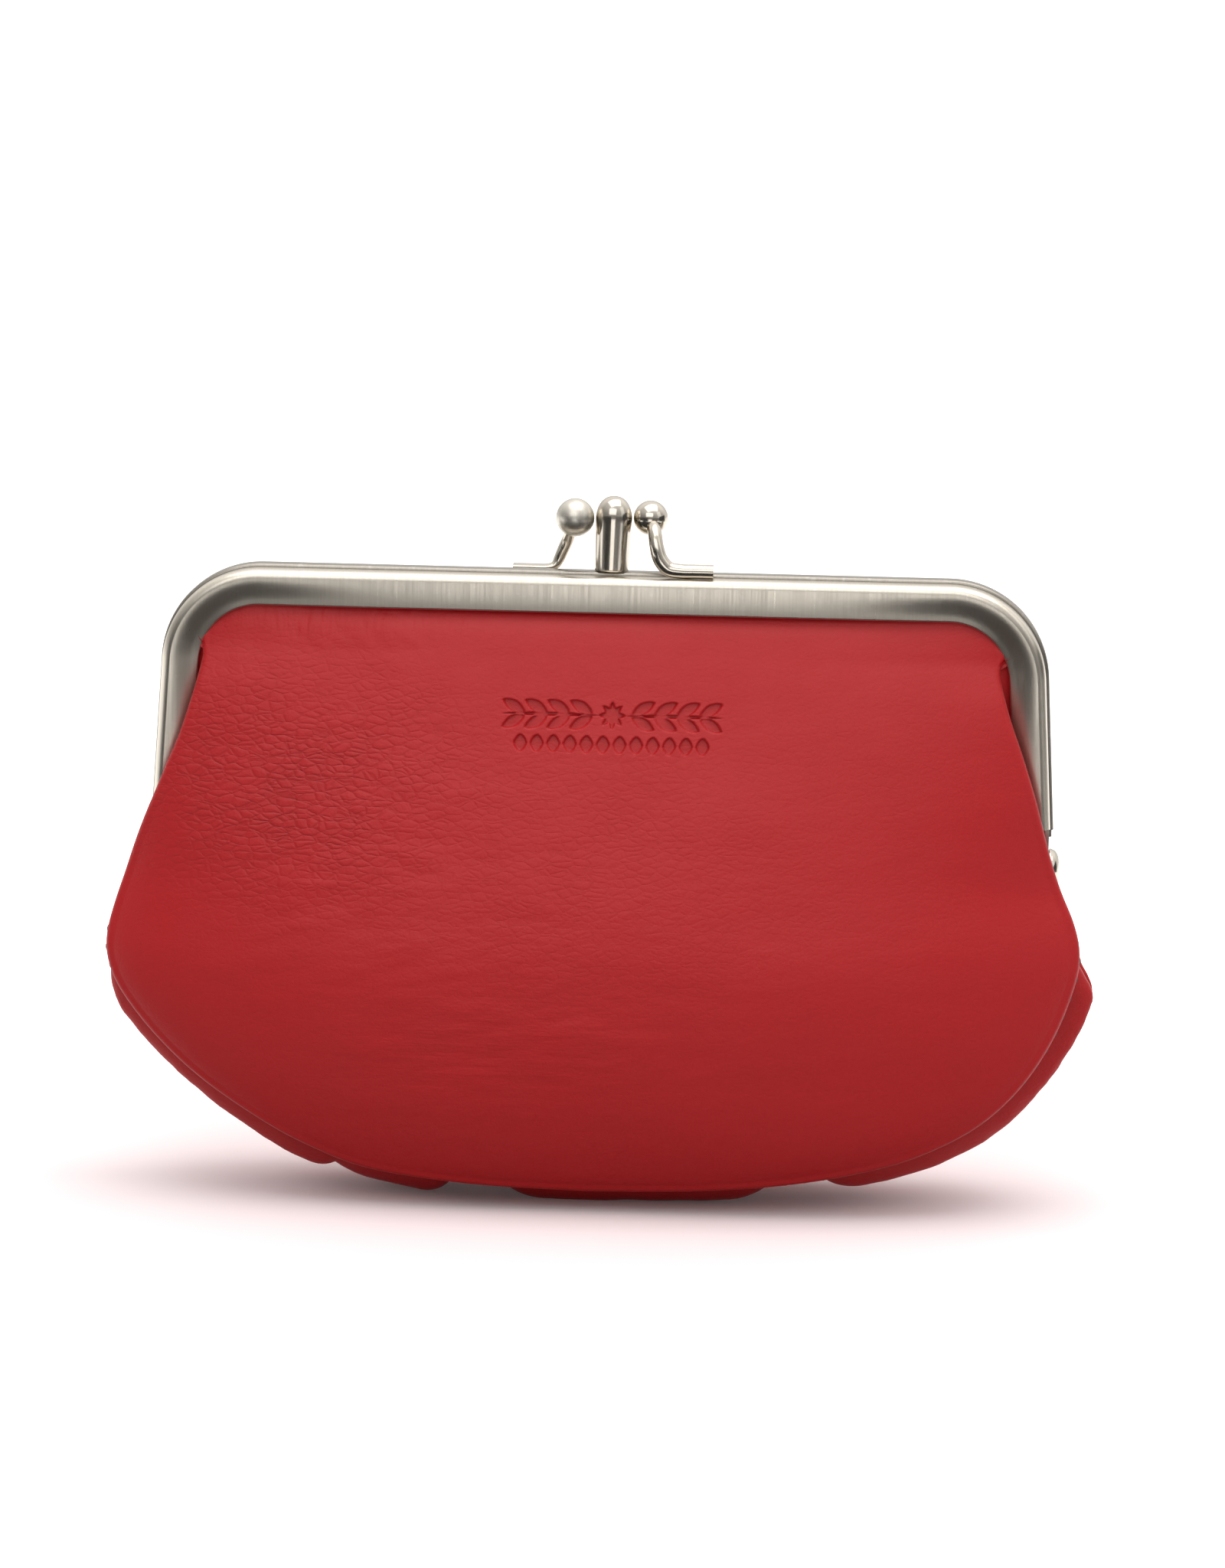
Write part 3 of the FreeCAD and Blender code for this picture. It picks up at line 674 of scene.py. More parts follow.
def panel_wrinkles(points, seed, crushed):
    """Soft unevenness of the leather, in mm forwards: broad waves, crush folds and small puckers."""
    x, z = points[:, 0], points[:, 2]
    flat = np.stack([x, 0 * x, z], 1)
    broad = wavy(flat, (34.0, 1.0, 26.0), seed, 2) * 0.35
    leaning = np.stack([x + 0.35 * z, 0 * x, z - 0.12 * x], 1)
    crush = wavy(leaning, (9.0, 1.0, 2.6), seed + 3, 3)
    on_left = np.exp(-(((x + 38) / 24) ** 2) - ((z - 52) / 17) ** 2)
    on_middle = np.exp(-(((x + 12) / 26) ** 2) - ((z - 24) / 9) ** 2)
    where = 0.25 + crushed * (0.9 * on_left + 0.7 * on_middle)
    folds = crush * 0.13 * where
    pucker_at = np.exp(-(((z - 80.5) / 2.6) ** 2)) * smoothstep(10, 48, -x)
    slanted = np.stack([x + 1.1 * z, 0 * x, z], 1)
    puckers = wavy(slanted, (2.2, 1.0, 4.0), seed + 7, 2) * 0.16 * pucker_at
    return broad + folds + puckers


def make_panel(name, side, seed, stamped):
    """A whole leather panel, from the frame's channel to the bottom seam, as one bulging sheet."""
    count, rings = 400, 88
    line = panel_outline(count)
    normal = outward(line)
    centre = np.array([0.0, FAN_CENTRE_Z])
    rows = []
    for share in (1 - (1 - np.linspace(0, 1, rings + 1)[1:]) ** 1.18):
        flat = centre + (line - centre) * share
        rows.append((flat, panel_depth(flat[:, 0], flat[:, 1])))
    depth = rows[-1][1]
    rows += edge_rows(line, normal, depth)
    ringed = [np.stack([f[:, 0], d, f[:, 1]], 1) for f, d in rows]
    points = np.concatenate(ringed + [[[0.0, panel_depth(0.0, FAN_CENTRE_Z), FAN_CENTRE_Z]]])
    faces = disc_faces(len(ringed), count, len(points) - 1)
    calm = np.ones(len(points))
    share = np.repeat(np.arange(len(ringed)) / rings, count)
    calm[:-1] = 1 - smoothstep(0.86, 1.0, share)
    near_lip = smoothstep(81.5, 84.6, points[:, 2])
    points[:, 1] += panel_wrinkles(points, seed, 1.0 if stamped else 0.6) * calm * (1 - near_lip)
    if side < 0:
        beside_hinge = np.exp(-(((points[:, 2] - 47) / 13) ** 2))
        points[:, 0] -= 1.2 * beside_hinge * smoothstep(25, 62, points[:, 0])
    obj = make_mesh(name, to_metres(points, side), faces, RED, flip=side > 0)
    outer = len(points)
    thicken(obj, LEATHER)
    if stamped:
        press_ornament(obj, outer)
    return obj


def press_ornament(obj, outer):
    """Refines the panel's outer face under the ornament and presses it in."""
    mesh = bmesh.new()
    mesh.from_mesh(obj.data)
    mesh.verts.ensure_lookup_table()
    total = len(mesh.verts)

    def near(vert):
        x, z = vert.co.x / MM, vert.co.z / MM
        return vert.index < outer and abs(x - MARK_X) < 17.0 and LOZENGE_Z - 2.5 < z < SPRIG_Z + 3.5

    inside = [e for e in mesh.edges if all(near(v) for v in e.verts)]
    bmesh.ops.subdivide_edges(mesh, edges=inside, cuts=3, use_grid_fill=True, smooth=0.0)
    mesh.verts.ensure_lookup_table()
    where = np.array([v.co[:] for v in mesh.verts]) / MM
    on_face = np.ones(len(where), bool)
    on_face[outer:total] = False
    pressed = leaf_mark(where[:, 0], where[:, 2]) * on_face * (where[:, 1] < -5.0)
    for i in np.nonzero(pressed > 0)[0]:
        mesh.verts[i].co.y += float(pressed[i]) * MARK_DEPTH * MM
    mesh.to_mesh(obj.data)
    mesh.free()
    obj.data.polygons.foreach_set("use_smooth", [True] * len(obj.data.polygons))


# ---- the gussets ----

# Each lobe of the gathered gusset: where it starts and ends in x, how far it stands out at each end,
# and how gradually it starts and ends.
LOBES = [
    (-80.0, -35.3, 2.0, 4.3, 1.0, 4.5),
    (-41.0, -19.5, 2.6, 3.9, 9.0, 5.0),
    (-13.5, 26.5, 3.2, 3.0, 7.0, 7.0),
    (32.0, 80.0, 3.6, 3.3, 7.0, 1.0),
]


BETWEEN_LOBES = -0.9


def rounded(t):
    """Rises from 0 to 1 like a quarter of a circle."""
    return np.sqrt(1 - (1 - np.clip(t, 0, 1)) ** 2)


def ridge_offset(line):
    """How far the gusset's fold stands out past the panel's edge: a few lobes, tucked in between."""
    x, z = line[:, 0], line[:, 1]
    height = np.full(len(x), BETWEEN_LOBES)
    for left, right, first, last, ramp_in, ramp_out in LOBES:
        proud = first + (last - first) * np.clip((x - left) / (right - left), 0, 1)
        shape = rounded((x - left) / ramp_in) * rounded((right - x) / ramp_out)
        height = np.maximum(height, BETWEEN_LOBES + (proud - BETWEEN_LOBES) * shape)
    uneven = wavy(np.stack([x, 0 * x, z], 1), (9.0, 1.0, 9.0), 5, 2) * 0.25
    fade = 1 - smoothstep(np.where(x < 0, 27.0, 31.5), 38.5, z)
    return (height + uneven) * fade - 1.6 * (1 - fade)


def lower_edge(count, top_z):
    """The part of the panel's outline below a height, from left to right, with its normals and the depth
    of the panel's outer face there."""
    line = panel_outline(count)
    normal = outward(line)
    depth = panel_depth(line[:, 0], line[:, 1])
    line = line + normal * EDGE_ROLL
    start = int(np.argmax(line[:, 1]))
    line, normal, depth = (np.roll(part, -start, 0) for part in (line, normal, depth))
    keep = line[:, 1] < top_z
    return line[keep], normal[keep], depth[keep]


def make_gusset(name, side, seed):
    """The strip between a panel's seam and the divider, gathered into lobes that fold outwards."""
    line, normal, seam = lower_edge(760, 46.5)
    seam = seam - 1.8 * EDGE_ROLL
    ridge = ridge_offset(line)
    rows = []
    for t in np.linspace(0, 1, 44):
        tucked = -0.75 - 1.35 * float(smoothstep(0.0, 0.16, t)) - 0.7 * float(smoothstep(0.7, 1.0, t))
        swell = float(smoothstep(0.16, 0.60, t) * (1 - smoothstep(0.68, 1.0, t)))
        offset = tucked + (ridge - tucked) * swell
        depth = seam * (1 - t) + 0.5 * t
        flat = line + normal * offset[:, None]
        rows.append(np.stack([flat[:, 0], depth, np.maximum(flat[:, 1], 0.02)], 1))
    points = np.concatenate(rows)
    crinkle = wavy(points, (3.4, 3.4, 3.4), seed, 3) * 0.16
    points[:, 0] += crinkle * np.sign(points[:, 0]) * smoothstep(10, 50, np.abs(points[:, 0]))
    faces = grid_faces(len(rows), len(line))
    obj = make_mesh(name, to_metres(points, side), faces, RED, flip=side > 0)
    thicken(obj, 0.8)
    return obj


def make_stitches(name, side):
    """Short stitches of thread in the crease between a panel's rolled edge and the gusset."""
    line, normal, face = lower_edge(760, 40.0)
    along = np.concatenate([[0], np.cumsum(np.linalg.norm(np.diff(line, axis=0), axis=1))])
    thick, length, pitch, rim, beads = 0.24, 1.9, 2.7, 8, 7
    points, faces = [], []
    for start in np.arange(1.0, along[-1] - 3.0, pitch):
        stops = np.linspace(start, start + length, beads)
        x, z = np.interp(stops, along, line[:, 0]), np.interp(stops, along, line[:, 1])
        nx, nz = np.interp(stops, along, normal[:, 0]), np.interp(stops, along, normal[:, 1])
        deep = np.interp(stops, along, face)
        base = len(points)
        for k in range(beads):
            share = k / (beads - 1)
            radius = thick * math.sqrt(max(1 - (2 * share - 1) ** 4, 0.02))
            dip = 0.35 * (2 * share - 1) ** 2
            depth = deep[k] - 1.5 * EDGE_ROLL
            for r in range(rim):
                a = 2 * math.pi * r / rim
                out = radius * math.cos(a) - 0.10 - dip
                points.append((x[k] + nx[k] * out, depth + radius * math.sin(a), z[k] + nz[k] * out))
        faces += [tuple(base + i for i in f) for f in tube_faces(beads, rim)]
    return make_mesh(name, to_metres(points, side), faces, THREAD, flip=side > 0)


# ---- divider and linings ----

def wall_half_width(x_side, z, inset):
    """Half the width of the divider at a height: inside the body, between the hinges, inside the leaf."""
    z = np.asarray(z, float)
    body = panel_half_width(x_side, z) - EDGE_ROLL - inset
    leg = LEG_HALF_WIDTH - (z - HINGE_Z) * math.tan(LEG_FLARE) - 0.6
    radius = CORNER_RADIUS - 1.0
    rise = np.clip(z - CORNER_CENTRE_Z, 0, radius - 0.1)
    corner = CORNER_CENTRE_X + np.sqrt(np.maximum(radius**2 - rise**2, 0))
    channel = np.where(z > CORNER_CENTRE_Z, np.minimum(leg, corner), leg)
    neck = 60.0
    low = body + (neck - body) * smoothstep(40.5, 44.0, z)
    return low + (channel - low) * smoothstep(56.5, 58.5, z)


def make_wall(name, depth, inset, low_z, high_z, trim, thickness, material):
    """An upright sheet between the compartments, cut to the divider's outline. The divider and the linings
    on it wave together."""
    columns = 121
    drop = np.linspace(0, 1, 150) ** 1.6
    heights = low_z + (high_z - low_z) * drop
    rows = []
    for z in heights:
        left = max(float(wall_half_width(-1, z, inset)) - trim, 0.5)
        right = max(float(wall_half_width(1, z, inset)) - trim, 0.5)
        x = np.linspace(-left, right, columns)
        rows.append(np.stack([x, np.full(columns, depth), np.full(columns, z)], 1))
    points = np.concatenate(rows)
    free = smoothstep(7, 15, points[:, 2]) * (1 - smoothstep(72, 82, points[:, 2]))
    flat = points * [1, 0, 1]
    points[:, 1] += wavy(flat, (30.0, 1.0, 22.0), 1, 2) * 0.28 * free
    obj = make_mesh(name, to_metres(points), grid_faces(len(rows), columns), material)
    thicken(obj, thickness, offset=0.0)
    return obj


def make_lining_front(name, side, seed):
    """The lining behind a panel: the panel's own shape, moved in, with loose soft folds."""
    count, rings, gap = 260, 60, 1.25
    line = panel_outline(count)
    normal = outward(line)
    inset = np.where(line[:, 1] > 80.0, 0.0, 2.4)
    line = line - normal * inset[:, None]
    centre = np.array([0.0, FAN_CENTRE_Z])
    rows = []
    for share in np.linspace(0, 1, rings + 1)[1:]:
        flat = centre + (line - centre) * share
        rows.append(np.stack([flat[:, 0], panel_depth(flat[:, 0], flat[:, 1]) - gap, flat[:, 1]], 1))
    tail = rows[-1].copy()
    top = smoothstep(72.0, 80.0, tail[:, 2])
    behind = np.maximum(smooth_curve(EDGE_DEPTHS, tail[:, 2]) - 4.2, 1.6)
    tail[:, 1] = behind + (2.95 - behind) * top
    tail[:, 2] = np.minimum(tail[:, 2] + 1.2 * top, 86.0)
    rows.append(tail)
    points = np.concatenate(rows + [[[0.0, float(panel_depth(0.0, FAN_CENTRE_Z)) - gap, FAN_CENTRE_Z]]])
    loose = 1 - smoothstep(72, 82, points[:, 2])
    points[:, 1] -= np.abs(wavy(points, (22.0, 6.0, 16.0), seed, 3)) * 0.8 * loose
    faces = disc_faces(len(rows), count, len(points) - 1)
    obj = make_mesh(name, to_metres(points, side), faces, LINING, flip=side > 0)
    thicken(obj, 0.25)
    return obj


# ---- metalwork ----

def frame_path(overhang, leg_end):
    """Stations along half a leaf's outer edge, from the foot of the right leg to the middle of the top:
    a point and an inward direction in (x, z), how strongly the face is dished there, and how much of a
    leg it is, from 0 to 1."""
    inward = np.array([-math.cos(LEG_FLARE), -math.sin(LEG_FLARE)])
    turn = math.pi / 2 - LEG_FLARE
    centre = np.array([CORNER_CENTRE_X, CORNER_CENTRE_Z])
    start = centre - inward * CORNER_RADIUS
    down = np.array([math.sin(LEG_FLARE), -math.cos(LEG_FLARE)])
    length = (start[1] - leg_end) / math.cos(LEG_FLARE)
    half_bend = CORNER_RADIUS * turn / 2
    stations = []
    for t in np.linspace(0, 1, 24):
        away = half_bend + length * (1 - t)
        stations.append((start + down * length * (1 - t), inward, math.exp(-((away / 15.0) ** 2)), 1.0))
    for t in np.linspace(0, 1, 44)[1:]:
        angle = LEG_FLARE + turn * t
        out = np.array([math.cos(angle), math.sin(angle)])
        away = abs(2 * t - 1) * half_bend
        leg = 1 - float(smoothstep(0.0, 0.8, t))
        stations.append((centre + out * CORNER_RADIUS, -out, math.exp(-((away / 16.0) ** 2)), leg))
    top = stations[-1][0]
    for t in np.linspace(0, 1, 60)[1:]:
        away = half_bend + top[0] * t
        dish = math.exp(-((away / 16.0) ** 2))
        stations.append((np.array([top[0] * (1 - t), top[1]]), np.array([0.0, -1.0]), dish, 0.0))
    return [(p - n * overhang, n, dish, leg) for p, n, dish, leg in stations]


def arc(cx, cy, radius, start, end, steps=5):
    """Points on an arc, with its angles in degrees."""
    turns = np.radians(np.linspace(start, end, steps))
    return [(cx + radius * math.cos(a), cy + radius * math.sin(a)) for a in turns]


def outer_leaf_section(dish, leg):
    """The closed section of an outer leaf, as (inward, depth): crowned face, round edge, web, flange. The
    face is pressed in further where it is dished, round the corners, and slopes more on the legs. Its
    rim has a wide radius, and the edges of its lip and flange a small one."""
    far, near, t = LEAF_FAR + 0.15 * dish, LEAF_NEAR, SHEET_METAL
    rim, small = 1.25, 0.25
    crown = []
    for s in np.linspace(0, 1, 16):
        u = 1.2 + (LIP_WIDTH - small - 1.2) * s
        pressed = float(smoothstep(0.05, 0.85, s)) * 0.60 * dish
        crown.append((u, far - 0.03 - 0.22 * s**2 - leg * (0.45 * s + 0.25 * s**2) - pressed))
    drop = far - crown[-1][1]
    lip = arc(LIP_WIDTH - small, far - drop - small, small, 90, -80, 6)
    under = [(u, d - t) for u, d in reversed(crown[1:-1])]
    inside = arc(rim, far - rim, 0.65, 90, 180, 5)
    flange = [(t, near + 0.5), (FLANGE_WIDTH - 0.2, near + 0.5)]
    tip = arc(FLANGE_WIDTH - 0.2, near + small, small, 90, -90, 5)
    back = arc(0.3, near + 0.3, 0.3, 270, 180, 4)
    edge = arc(rim, far - 1.3, rim, 180, 92, 9)
    return crown + lip + under + inside + flange + tip + back + edge


def middle_leaf_section(_dish, _leg):
    """The closed section of the middle leaf, the same all round: a narrow channel with equal flanges."""
    half, t = MIDDLE_HALF, 0.5
    deep = FLANGE_WIDTH + 0.5
    section = arc(0.5, -half + 0.5, 0.5, 270, 180, 5) + arc(0.5, half - 0.5, 0.5, 180, 90, 5)
    section += arc(deep - 0.2, half - 0.25, 0.25, 90, -90, 4)
    section += [(t, half - t), (t, -half + t)]
    section += arc(deep - 0.2, -half + 0.25, 0.25, 90, -90, 4)
    return section


def sweep_leaf(name, section, overhang, leg_end, side, material):
    """A closed section carried round the whole leaf, from foot to foot."""
    right = frame_path(overhang, leg_end)
    left = [(p * [-1, 1], n * [-1, 1], dish, leg) for p, n, dish, leg in reversed(right[:-1])]
    rows = []
    for p, n, dish, leg in right + left:
        rows.append([(p[0] + n[0] * u, d, p[1] + n[1] * u) for u, d in section(dish, leg)])
    points = np.concatenate([np.array(r) for r in rows])
    faces = tube_faces(len(rows), len(rows[0]))
    return make_mesh(name, to_metres(points, side), faces, material, flip=side > 0, smooth_angle=40)


def bevelled_prism(name, outline, x0, thick, material, side=1):
    """A flat plate across X with softened edges, from its outline in (depth, z)."""
    mesh = bmesh.new()
    first = [mesh.verts.new((x0 * MM, -side * d * MM, z * MM)) for d, z in outline]
    face = mesh.faces.new(first)
    swept = bmesh.ops.extrude_face_region(mesh, geom=[face])
    moved = [v for v in swept["geom"] if isinstance(v, bmesh.types.BMVert)]
    bmesh.ops.translate(mesh, verts=moved, vec=(thick * MM, 0, 0))
    bmesh.ops.recalc_face_normals(mesh, faces=mesh.faces)
    bmesh.ops.bevel(mesh, geom=mesh.edges[:], offset=0.08 * MM, segments=2, affect="EDGES")
    data = bpy.data.meshes.new(name)
    mesh.to_mesh(data)
    mesh.free()
    data.polygons.foreach_set("use_smooth", [True] * len(data.polygons))
    data.set_sharp_from_angle(angle=math.radians(40))
    data.materials.append(material)
    return add_object(name, data)


def make_ears(side, x0, material, name, step_to=None):
    """The two hinge ears of a leaf, with a step out to the leg where the leg is further out than the ear.
    Side is 1 for the front leaf, -1 for the rear, 0 for the middle."""
    ears = []
    if side == 0:
        outline = arc(0, HINGE_Z, EAR_RADIUS, 115, 425, 36)
        outline += [(MIDDLE_HALF, LEG_END), (-MIDDLE_HALF, LEG_END)]
        near, far, low, high = -MIDDLE_HALF, MIDDLE_HALF, LEG_END - 1.5, LEG_END
    else:
        near, far, low, high = LEAF_NEAR, LEAF_FAR - 1.0, LEG_END, LEG_END + 1.5
        outline = arc(0, HINGE_Z, EAR_RADIUS, 0, -240, 30)
        outline += [(near, high), (far, high), (far, LEG_END - 1.5)]
    step = [(near, high), (far, high), (far, low), (near, low)]
    for sign in (1, -1):
        x = x0 if sign > 0 else -x0 - SHEET_METAL
        ears.append(bevelled_prism(f"{name}_{sign}", outline, x, SHEET_METAL, material, side or 1))
        if step_to:
            inner = x0 if sign > 0 else -step_to
            width = step_to - x0
            ears.append(bevelled_prism(f"{name}_step_{sign}", step, inner, width, material, side or 1))
    return ears


def revolve(name, profile, centre, axis, material, count, smooth_angle):
    """A turned piece from (distance along the axis, radius) points, with count points round each ring.
    Axis is x or z; sizes in mm."""
    points = []
    for along, radius in profile:
        for k in range(count):
            a = 2 * math.pi * k / count
            c, s = radius * math.cos(a), radius * math.sin(a)
            offset = (along, c, s) if axis == "x" else (c, s, along)
            points.append([centre[i] + offset[i] for i in range(3)])
    faces = tube_faces(len(profile), count)
    obj = make_mesh(name, np.array(points) * MM, faces, material, smooth_angle=smooth_angle)
    face_outwards(obj, 0.0005)
    return obj


def make_ball(name, low, high, material):
    """A clasp ball, drawn very slightly towards an egg shape."""
    drawn = 0.03
    centre = (low + high) / 2
    radius = (high.x - low.x) / 2
    profile = []
    for a in np.linspace(-math.pi / 2, math.pi / 2, 49):
        profile.append((radius * math.sin(a), radius * math.cos(a) * (1 - drawn * math.sin(a))))
    return revolve(name, profile, (centre.x, centre.y, centre.z), "z", material, 96, 80)


def make_post():
    """The clasp's post: a tapered pin with a domed top and a slightly chamfered foot."""
    base, top, straight = 2.42, 2.62, 7.4
    dome = POST_HIGH.z - POST_LOW.z - straight
    profile = [(0.0, 0.001), (0.0, base - 0.12), (0.1, base)]
    profile += [(z, base + (top - base) * z / straight) for z in np.linspace(0.3, straight, 20)]
    for a in np.linspace(0, math.pi / 2, 26)[1:]:
        profile.append((straight + dome * math.sin(a), max(top * math.cos(a) ** 0.86, 0.001)))
    post = revolve("middle_clasp_post_turned", profile, (0, 0, POST_LOW.z), "z", POLISHED, 96, 60)
    pivot = Vector((0, 0, FRONT_BALL_LOW.z + 2.5)) * MM
    lean = Matrix.Rotation(math.radians(1.6), 4, "Y")
    at = Matrix.Translation(Vector((CLASP_X * MM, 0, 0)))
    post.data.transform(at @ Matrix.Translation(pivot) @ lean @ Matrix.Translation(-pivot))
    return post


def make_rivet(name, sign):
    """A hinge rivet: domed head with a thin skirt outside, shank, and a peened tail inside."""
    tail, head = RIVET_LOW.x, RIVET_HIGH.x
    seat = head - 1.7
    profile = [(tail, 0.001), (tail, 1.4), (tail + 0.15, 1.75), (tail + 0.7, 1.85), (tail + 0.8, 1.75)]
    profile += [(tail + 0.8, 1.2), (seat, 1.2), (seat, 2.9), (seat + 0.1, 3.1), (seat + 0.3, 3.08)]
    for a in np.linspace(0.1, math.pi / 2, 22):
        profile.append((seat + 0.3 + 1.4 * math.sin(a), max(3.02 * math.cos(a) ** 0.8, 0.001)))
    profile = [(sign * along, radius) for along, radius in profile]
    return revolve(name, profile, (0, 0, HINGE_Z), "x", POLISHED, 64, 50)


FRONT_STEM = [
    (14.5, 3.5, 91.05, 1.02, 1.02),
    (12.0, 3.5, 91.05, 1.02, 1.02),
    (9.9, 3.5, 91.05, 1.02, 1.04),
    (8.1, 3.5, 91.35, 1.05, 1.08),
    (6.9, 3.5, 92.7, 1.06, 1.08),
    (6.35, 3.3, 94.4, 1.04, 1.04),
    (6.05, 2.6, 96.0, 1.0, 1.0),
    (5.75, 1.4, 97.0, 0.95, 0.95),
    (5.4, 0.0, 97.7, 0.9, 0.9),
]
REAR_STEM = [
    (14.5, 3.5, 90.45, 1.3, 0.43),
    (12.0, 3.5, 90.45, 1.3, 0.43),
    (9.6, 3.5, 90.45, 1.25, 0.46),
    (8.5, 3.5, 90.75, 1.1, 0.66),
    (7.9, 3.45, 91.7, 0.95, 0.82),
    (7.3, 3.2, 93.1, 0.9, 0.88),
    (6.6, 2.7, 94.7, 0.88, 0.88),
    (6.1, 1.6, 96.2, 0.88, 0.88),
    (5.7, 0.2, 97.3, 0.85, 0.85),
]


def make_stem(name, side, sign, stations):
    """A clasp stem: a rod from its foot on the leaf up to the ball. Stations are (distance from the
    clasp's middle, depth, z, radius in depth, radius across)."""
    line = spline_through(np.array(stations, float), 90)
    tangent = np.gradient(line[:, :3], axis=0)
    tangent /= np.linalg.norm(tangent, axis=1, keepdims=True)
    points, rim = [], 32
    for p, t in zip(line, tangent):
        across = np.cross(t, [0.0, 1.0, 0.0])
        across /= np.linalg.norm(across)
        deep = np.cross(across, t)
        for k in range(rim):
            a = 2 * math.pi * k / rim
            points.append(p[:3] + p[4] * math.cos(a) * across + p[3] * math.sin(a) * deep)
    points = np.array(points)
    points[:, 0] = points[:, 0] * sign + CLASP_X
    faces = tube_faces(len(line), rim)
    obj = make_mesh(name, to_metres(points, side), faces, POLISHED, smooth_angle=50)
    face_outwards(obj)
    return obj


# ---- building the purse ----

def stand_in(obj, node, body):
    """Puts a piece in place of a CAD node, on a body."""
    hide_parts(node)
    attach(obj, body)


def build_leather():
    for side, word in ((1, "front"), (-1, "rear")):
        panel = make_panel(f"{word}_panel", side, 2 if side > 0 else 11, side > 0)
        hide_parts(f"{word}_panel_upper", f"{word}_panel_lower")
        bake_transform(panel)
        gusset = make_gusset(f"{word}_gusset_gathered", side, 3 if side > 0 else 8)
        stand_in(gusset, f"{word}_gusset", "root")
        stitches = make_stitches(f"{word}_seam_stitches", side)
        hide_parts(f"{word}_seam_thread")
        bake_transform(stitches)
        lining = make_lining_front(f"{word}_lining_outer", side, 4 if side > 0 else 9)
        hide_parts(f"{word}_lining_upper")
        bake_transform(lining)
        back = make_wall(f"{word}_lining_inner", side * 0.75, 3.4, 6.8, 86.0, 0.8, 0.2, LINING)
        stand_in(back, f"{word}_lining_lower", "root")
    wall = make_wall("divider_sheet", 0.0, 1.9, 3.4, 89.2, 0.0, 0.9, RED)
    stand_in(wall, "divider", "root")


def build_frame():
    for side, word, ear_x, step in ((1, "front", 63.5, None), (-1, "rear", 62.6, 64.0)):
        band = sweep_leaf(f"{word}_band", outer_leaf_section, 0.0, LEG_END, side, BRUSHED)
        ears = make_ears(side, ear_x, BRUSHED, f"{word}_ear", step)
        leaf = join(f"{word}_leaf_band", [band, *ears])
        stand_in(leaf, f"{word}_frame_leaf", f"{word}_leaf")
    band = sweep_leaf("middle_band", middle_leaf_section, 0.5, LEG_END - 0.5, 1, SHADED_NICKEL)
    ears = make_ears(0, 61.7, SHADED_NICKEL, "middle_ear", 64.5)
    leaf = join("middle_leaf_band", [band, *ears])
    stand_in(leaf, "middle_frame_leaf", "root")
    for sign, word in ((1, "right"), (-1, "left")):
        rivet = make_rivet(f"hinge_rivet_{word}_turned", sign)
        stand_in(rivet, f"hinge_rivet_{word}", "root")


def build_clasp():
    stand_in(make_post(), "middle_clasp_post", "root")
    sides = (
        (1, "front", FRONT_BALL_LOW, FRONT_BALL_HIGH, POLISHED, "polished_nickel", FRONT_STEM),
        (-1, "rear", REAR_BALL_LOW, REAR_BALL_HIGH, SATIN, "brushed_nickel", REAR_STEM),
    )
    for side, word, low, high, material, slot, stations in sides:
        ball = make_ball(f"{word}_clasp_ball_turned", low, high, material)
        stand_in(ball, f"{word}_clasp_ball", f"{word}_leaf")
        stem = make_stem(f"{word}_clasp_stem_bent", side, side, stations)
        stand_in(stem, f"{word}_clasp_stem", f"{word}_leaf")


def finish_hidden_nodes():
    """The paper cords stay as CAD made them, with a material of their own."""
    for name in ("front_paper_cord", "middle_paper_cord", "rear_paper_cord"):
        obj = frame["nodes"][name]
        obj.data.materials.clear()
        obj.data.materials.append(PAPER)


# ---- floor, light and camera ----

def pale_material():
    """A pale floor that glows a little more the further it is from the purse, so that it ends in white. Near
    the purse it is tinted pink: painted red light, as if thrown on it by the leather.
    """
    n = Nodes("pale_floor")
    away = n.ramp(n.distance(n.coordinates), [(0.08, 0.0), (0.22, 1.0)])
    mottled = n.ramp(n.noise(3.0, 2.0), [(0.3, 0.97), (0.7, 1.0)])
    # Pink near the purse, pale further out: painted red bounce light from the leather, seen where the floor
    # is in shade.
    pale = n.mix(away, (0.96, 0.87, 0.88), (0.95, 0.95, 0.945))
    n.set(Base_Color=pale, Emission_Color=mottled)
    n.set(Emission_Strength=n.plus(n.times(away, 0.55), 0.03))
    n.set(Roughness=0.9, Specular_IOR_Level=0.2)
    return n.material


def area_light(name, where, towards, size, power):
    data = bpy.data.lights.new(name, "AREA")
    data.shape = "RECTANGLE"
    data.size, data.size_y = size
    data.energy = power
    obj = add_object(name, data)
    obj.location = where
    obj.rotation_euler = (Vector(towards) - Vector(where)).to_track_quat("-Z", "Y").to_euler()


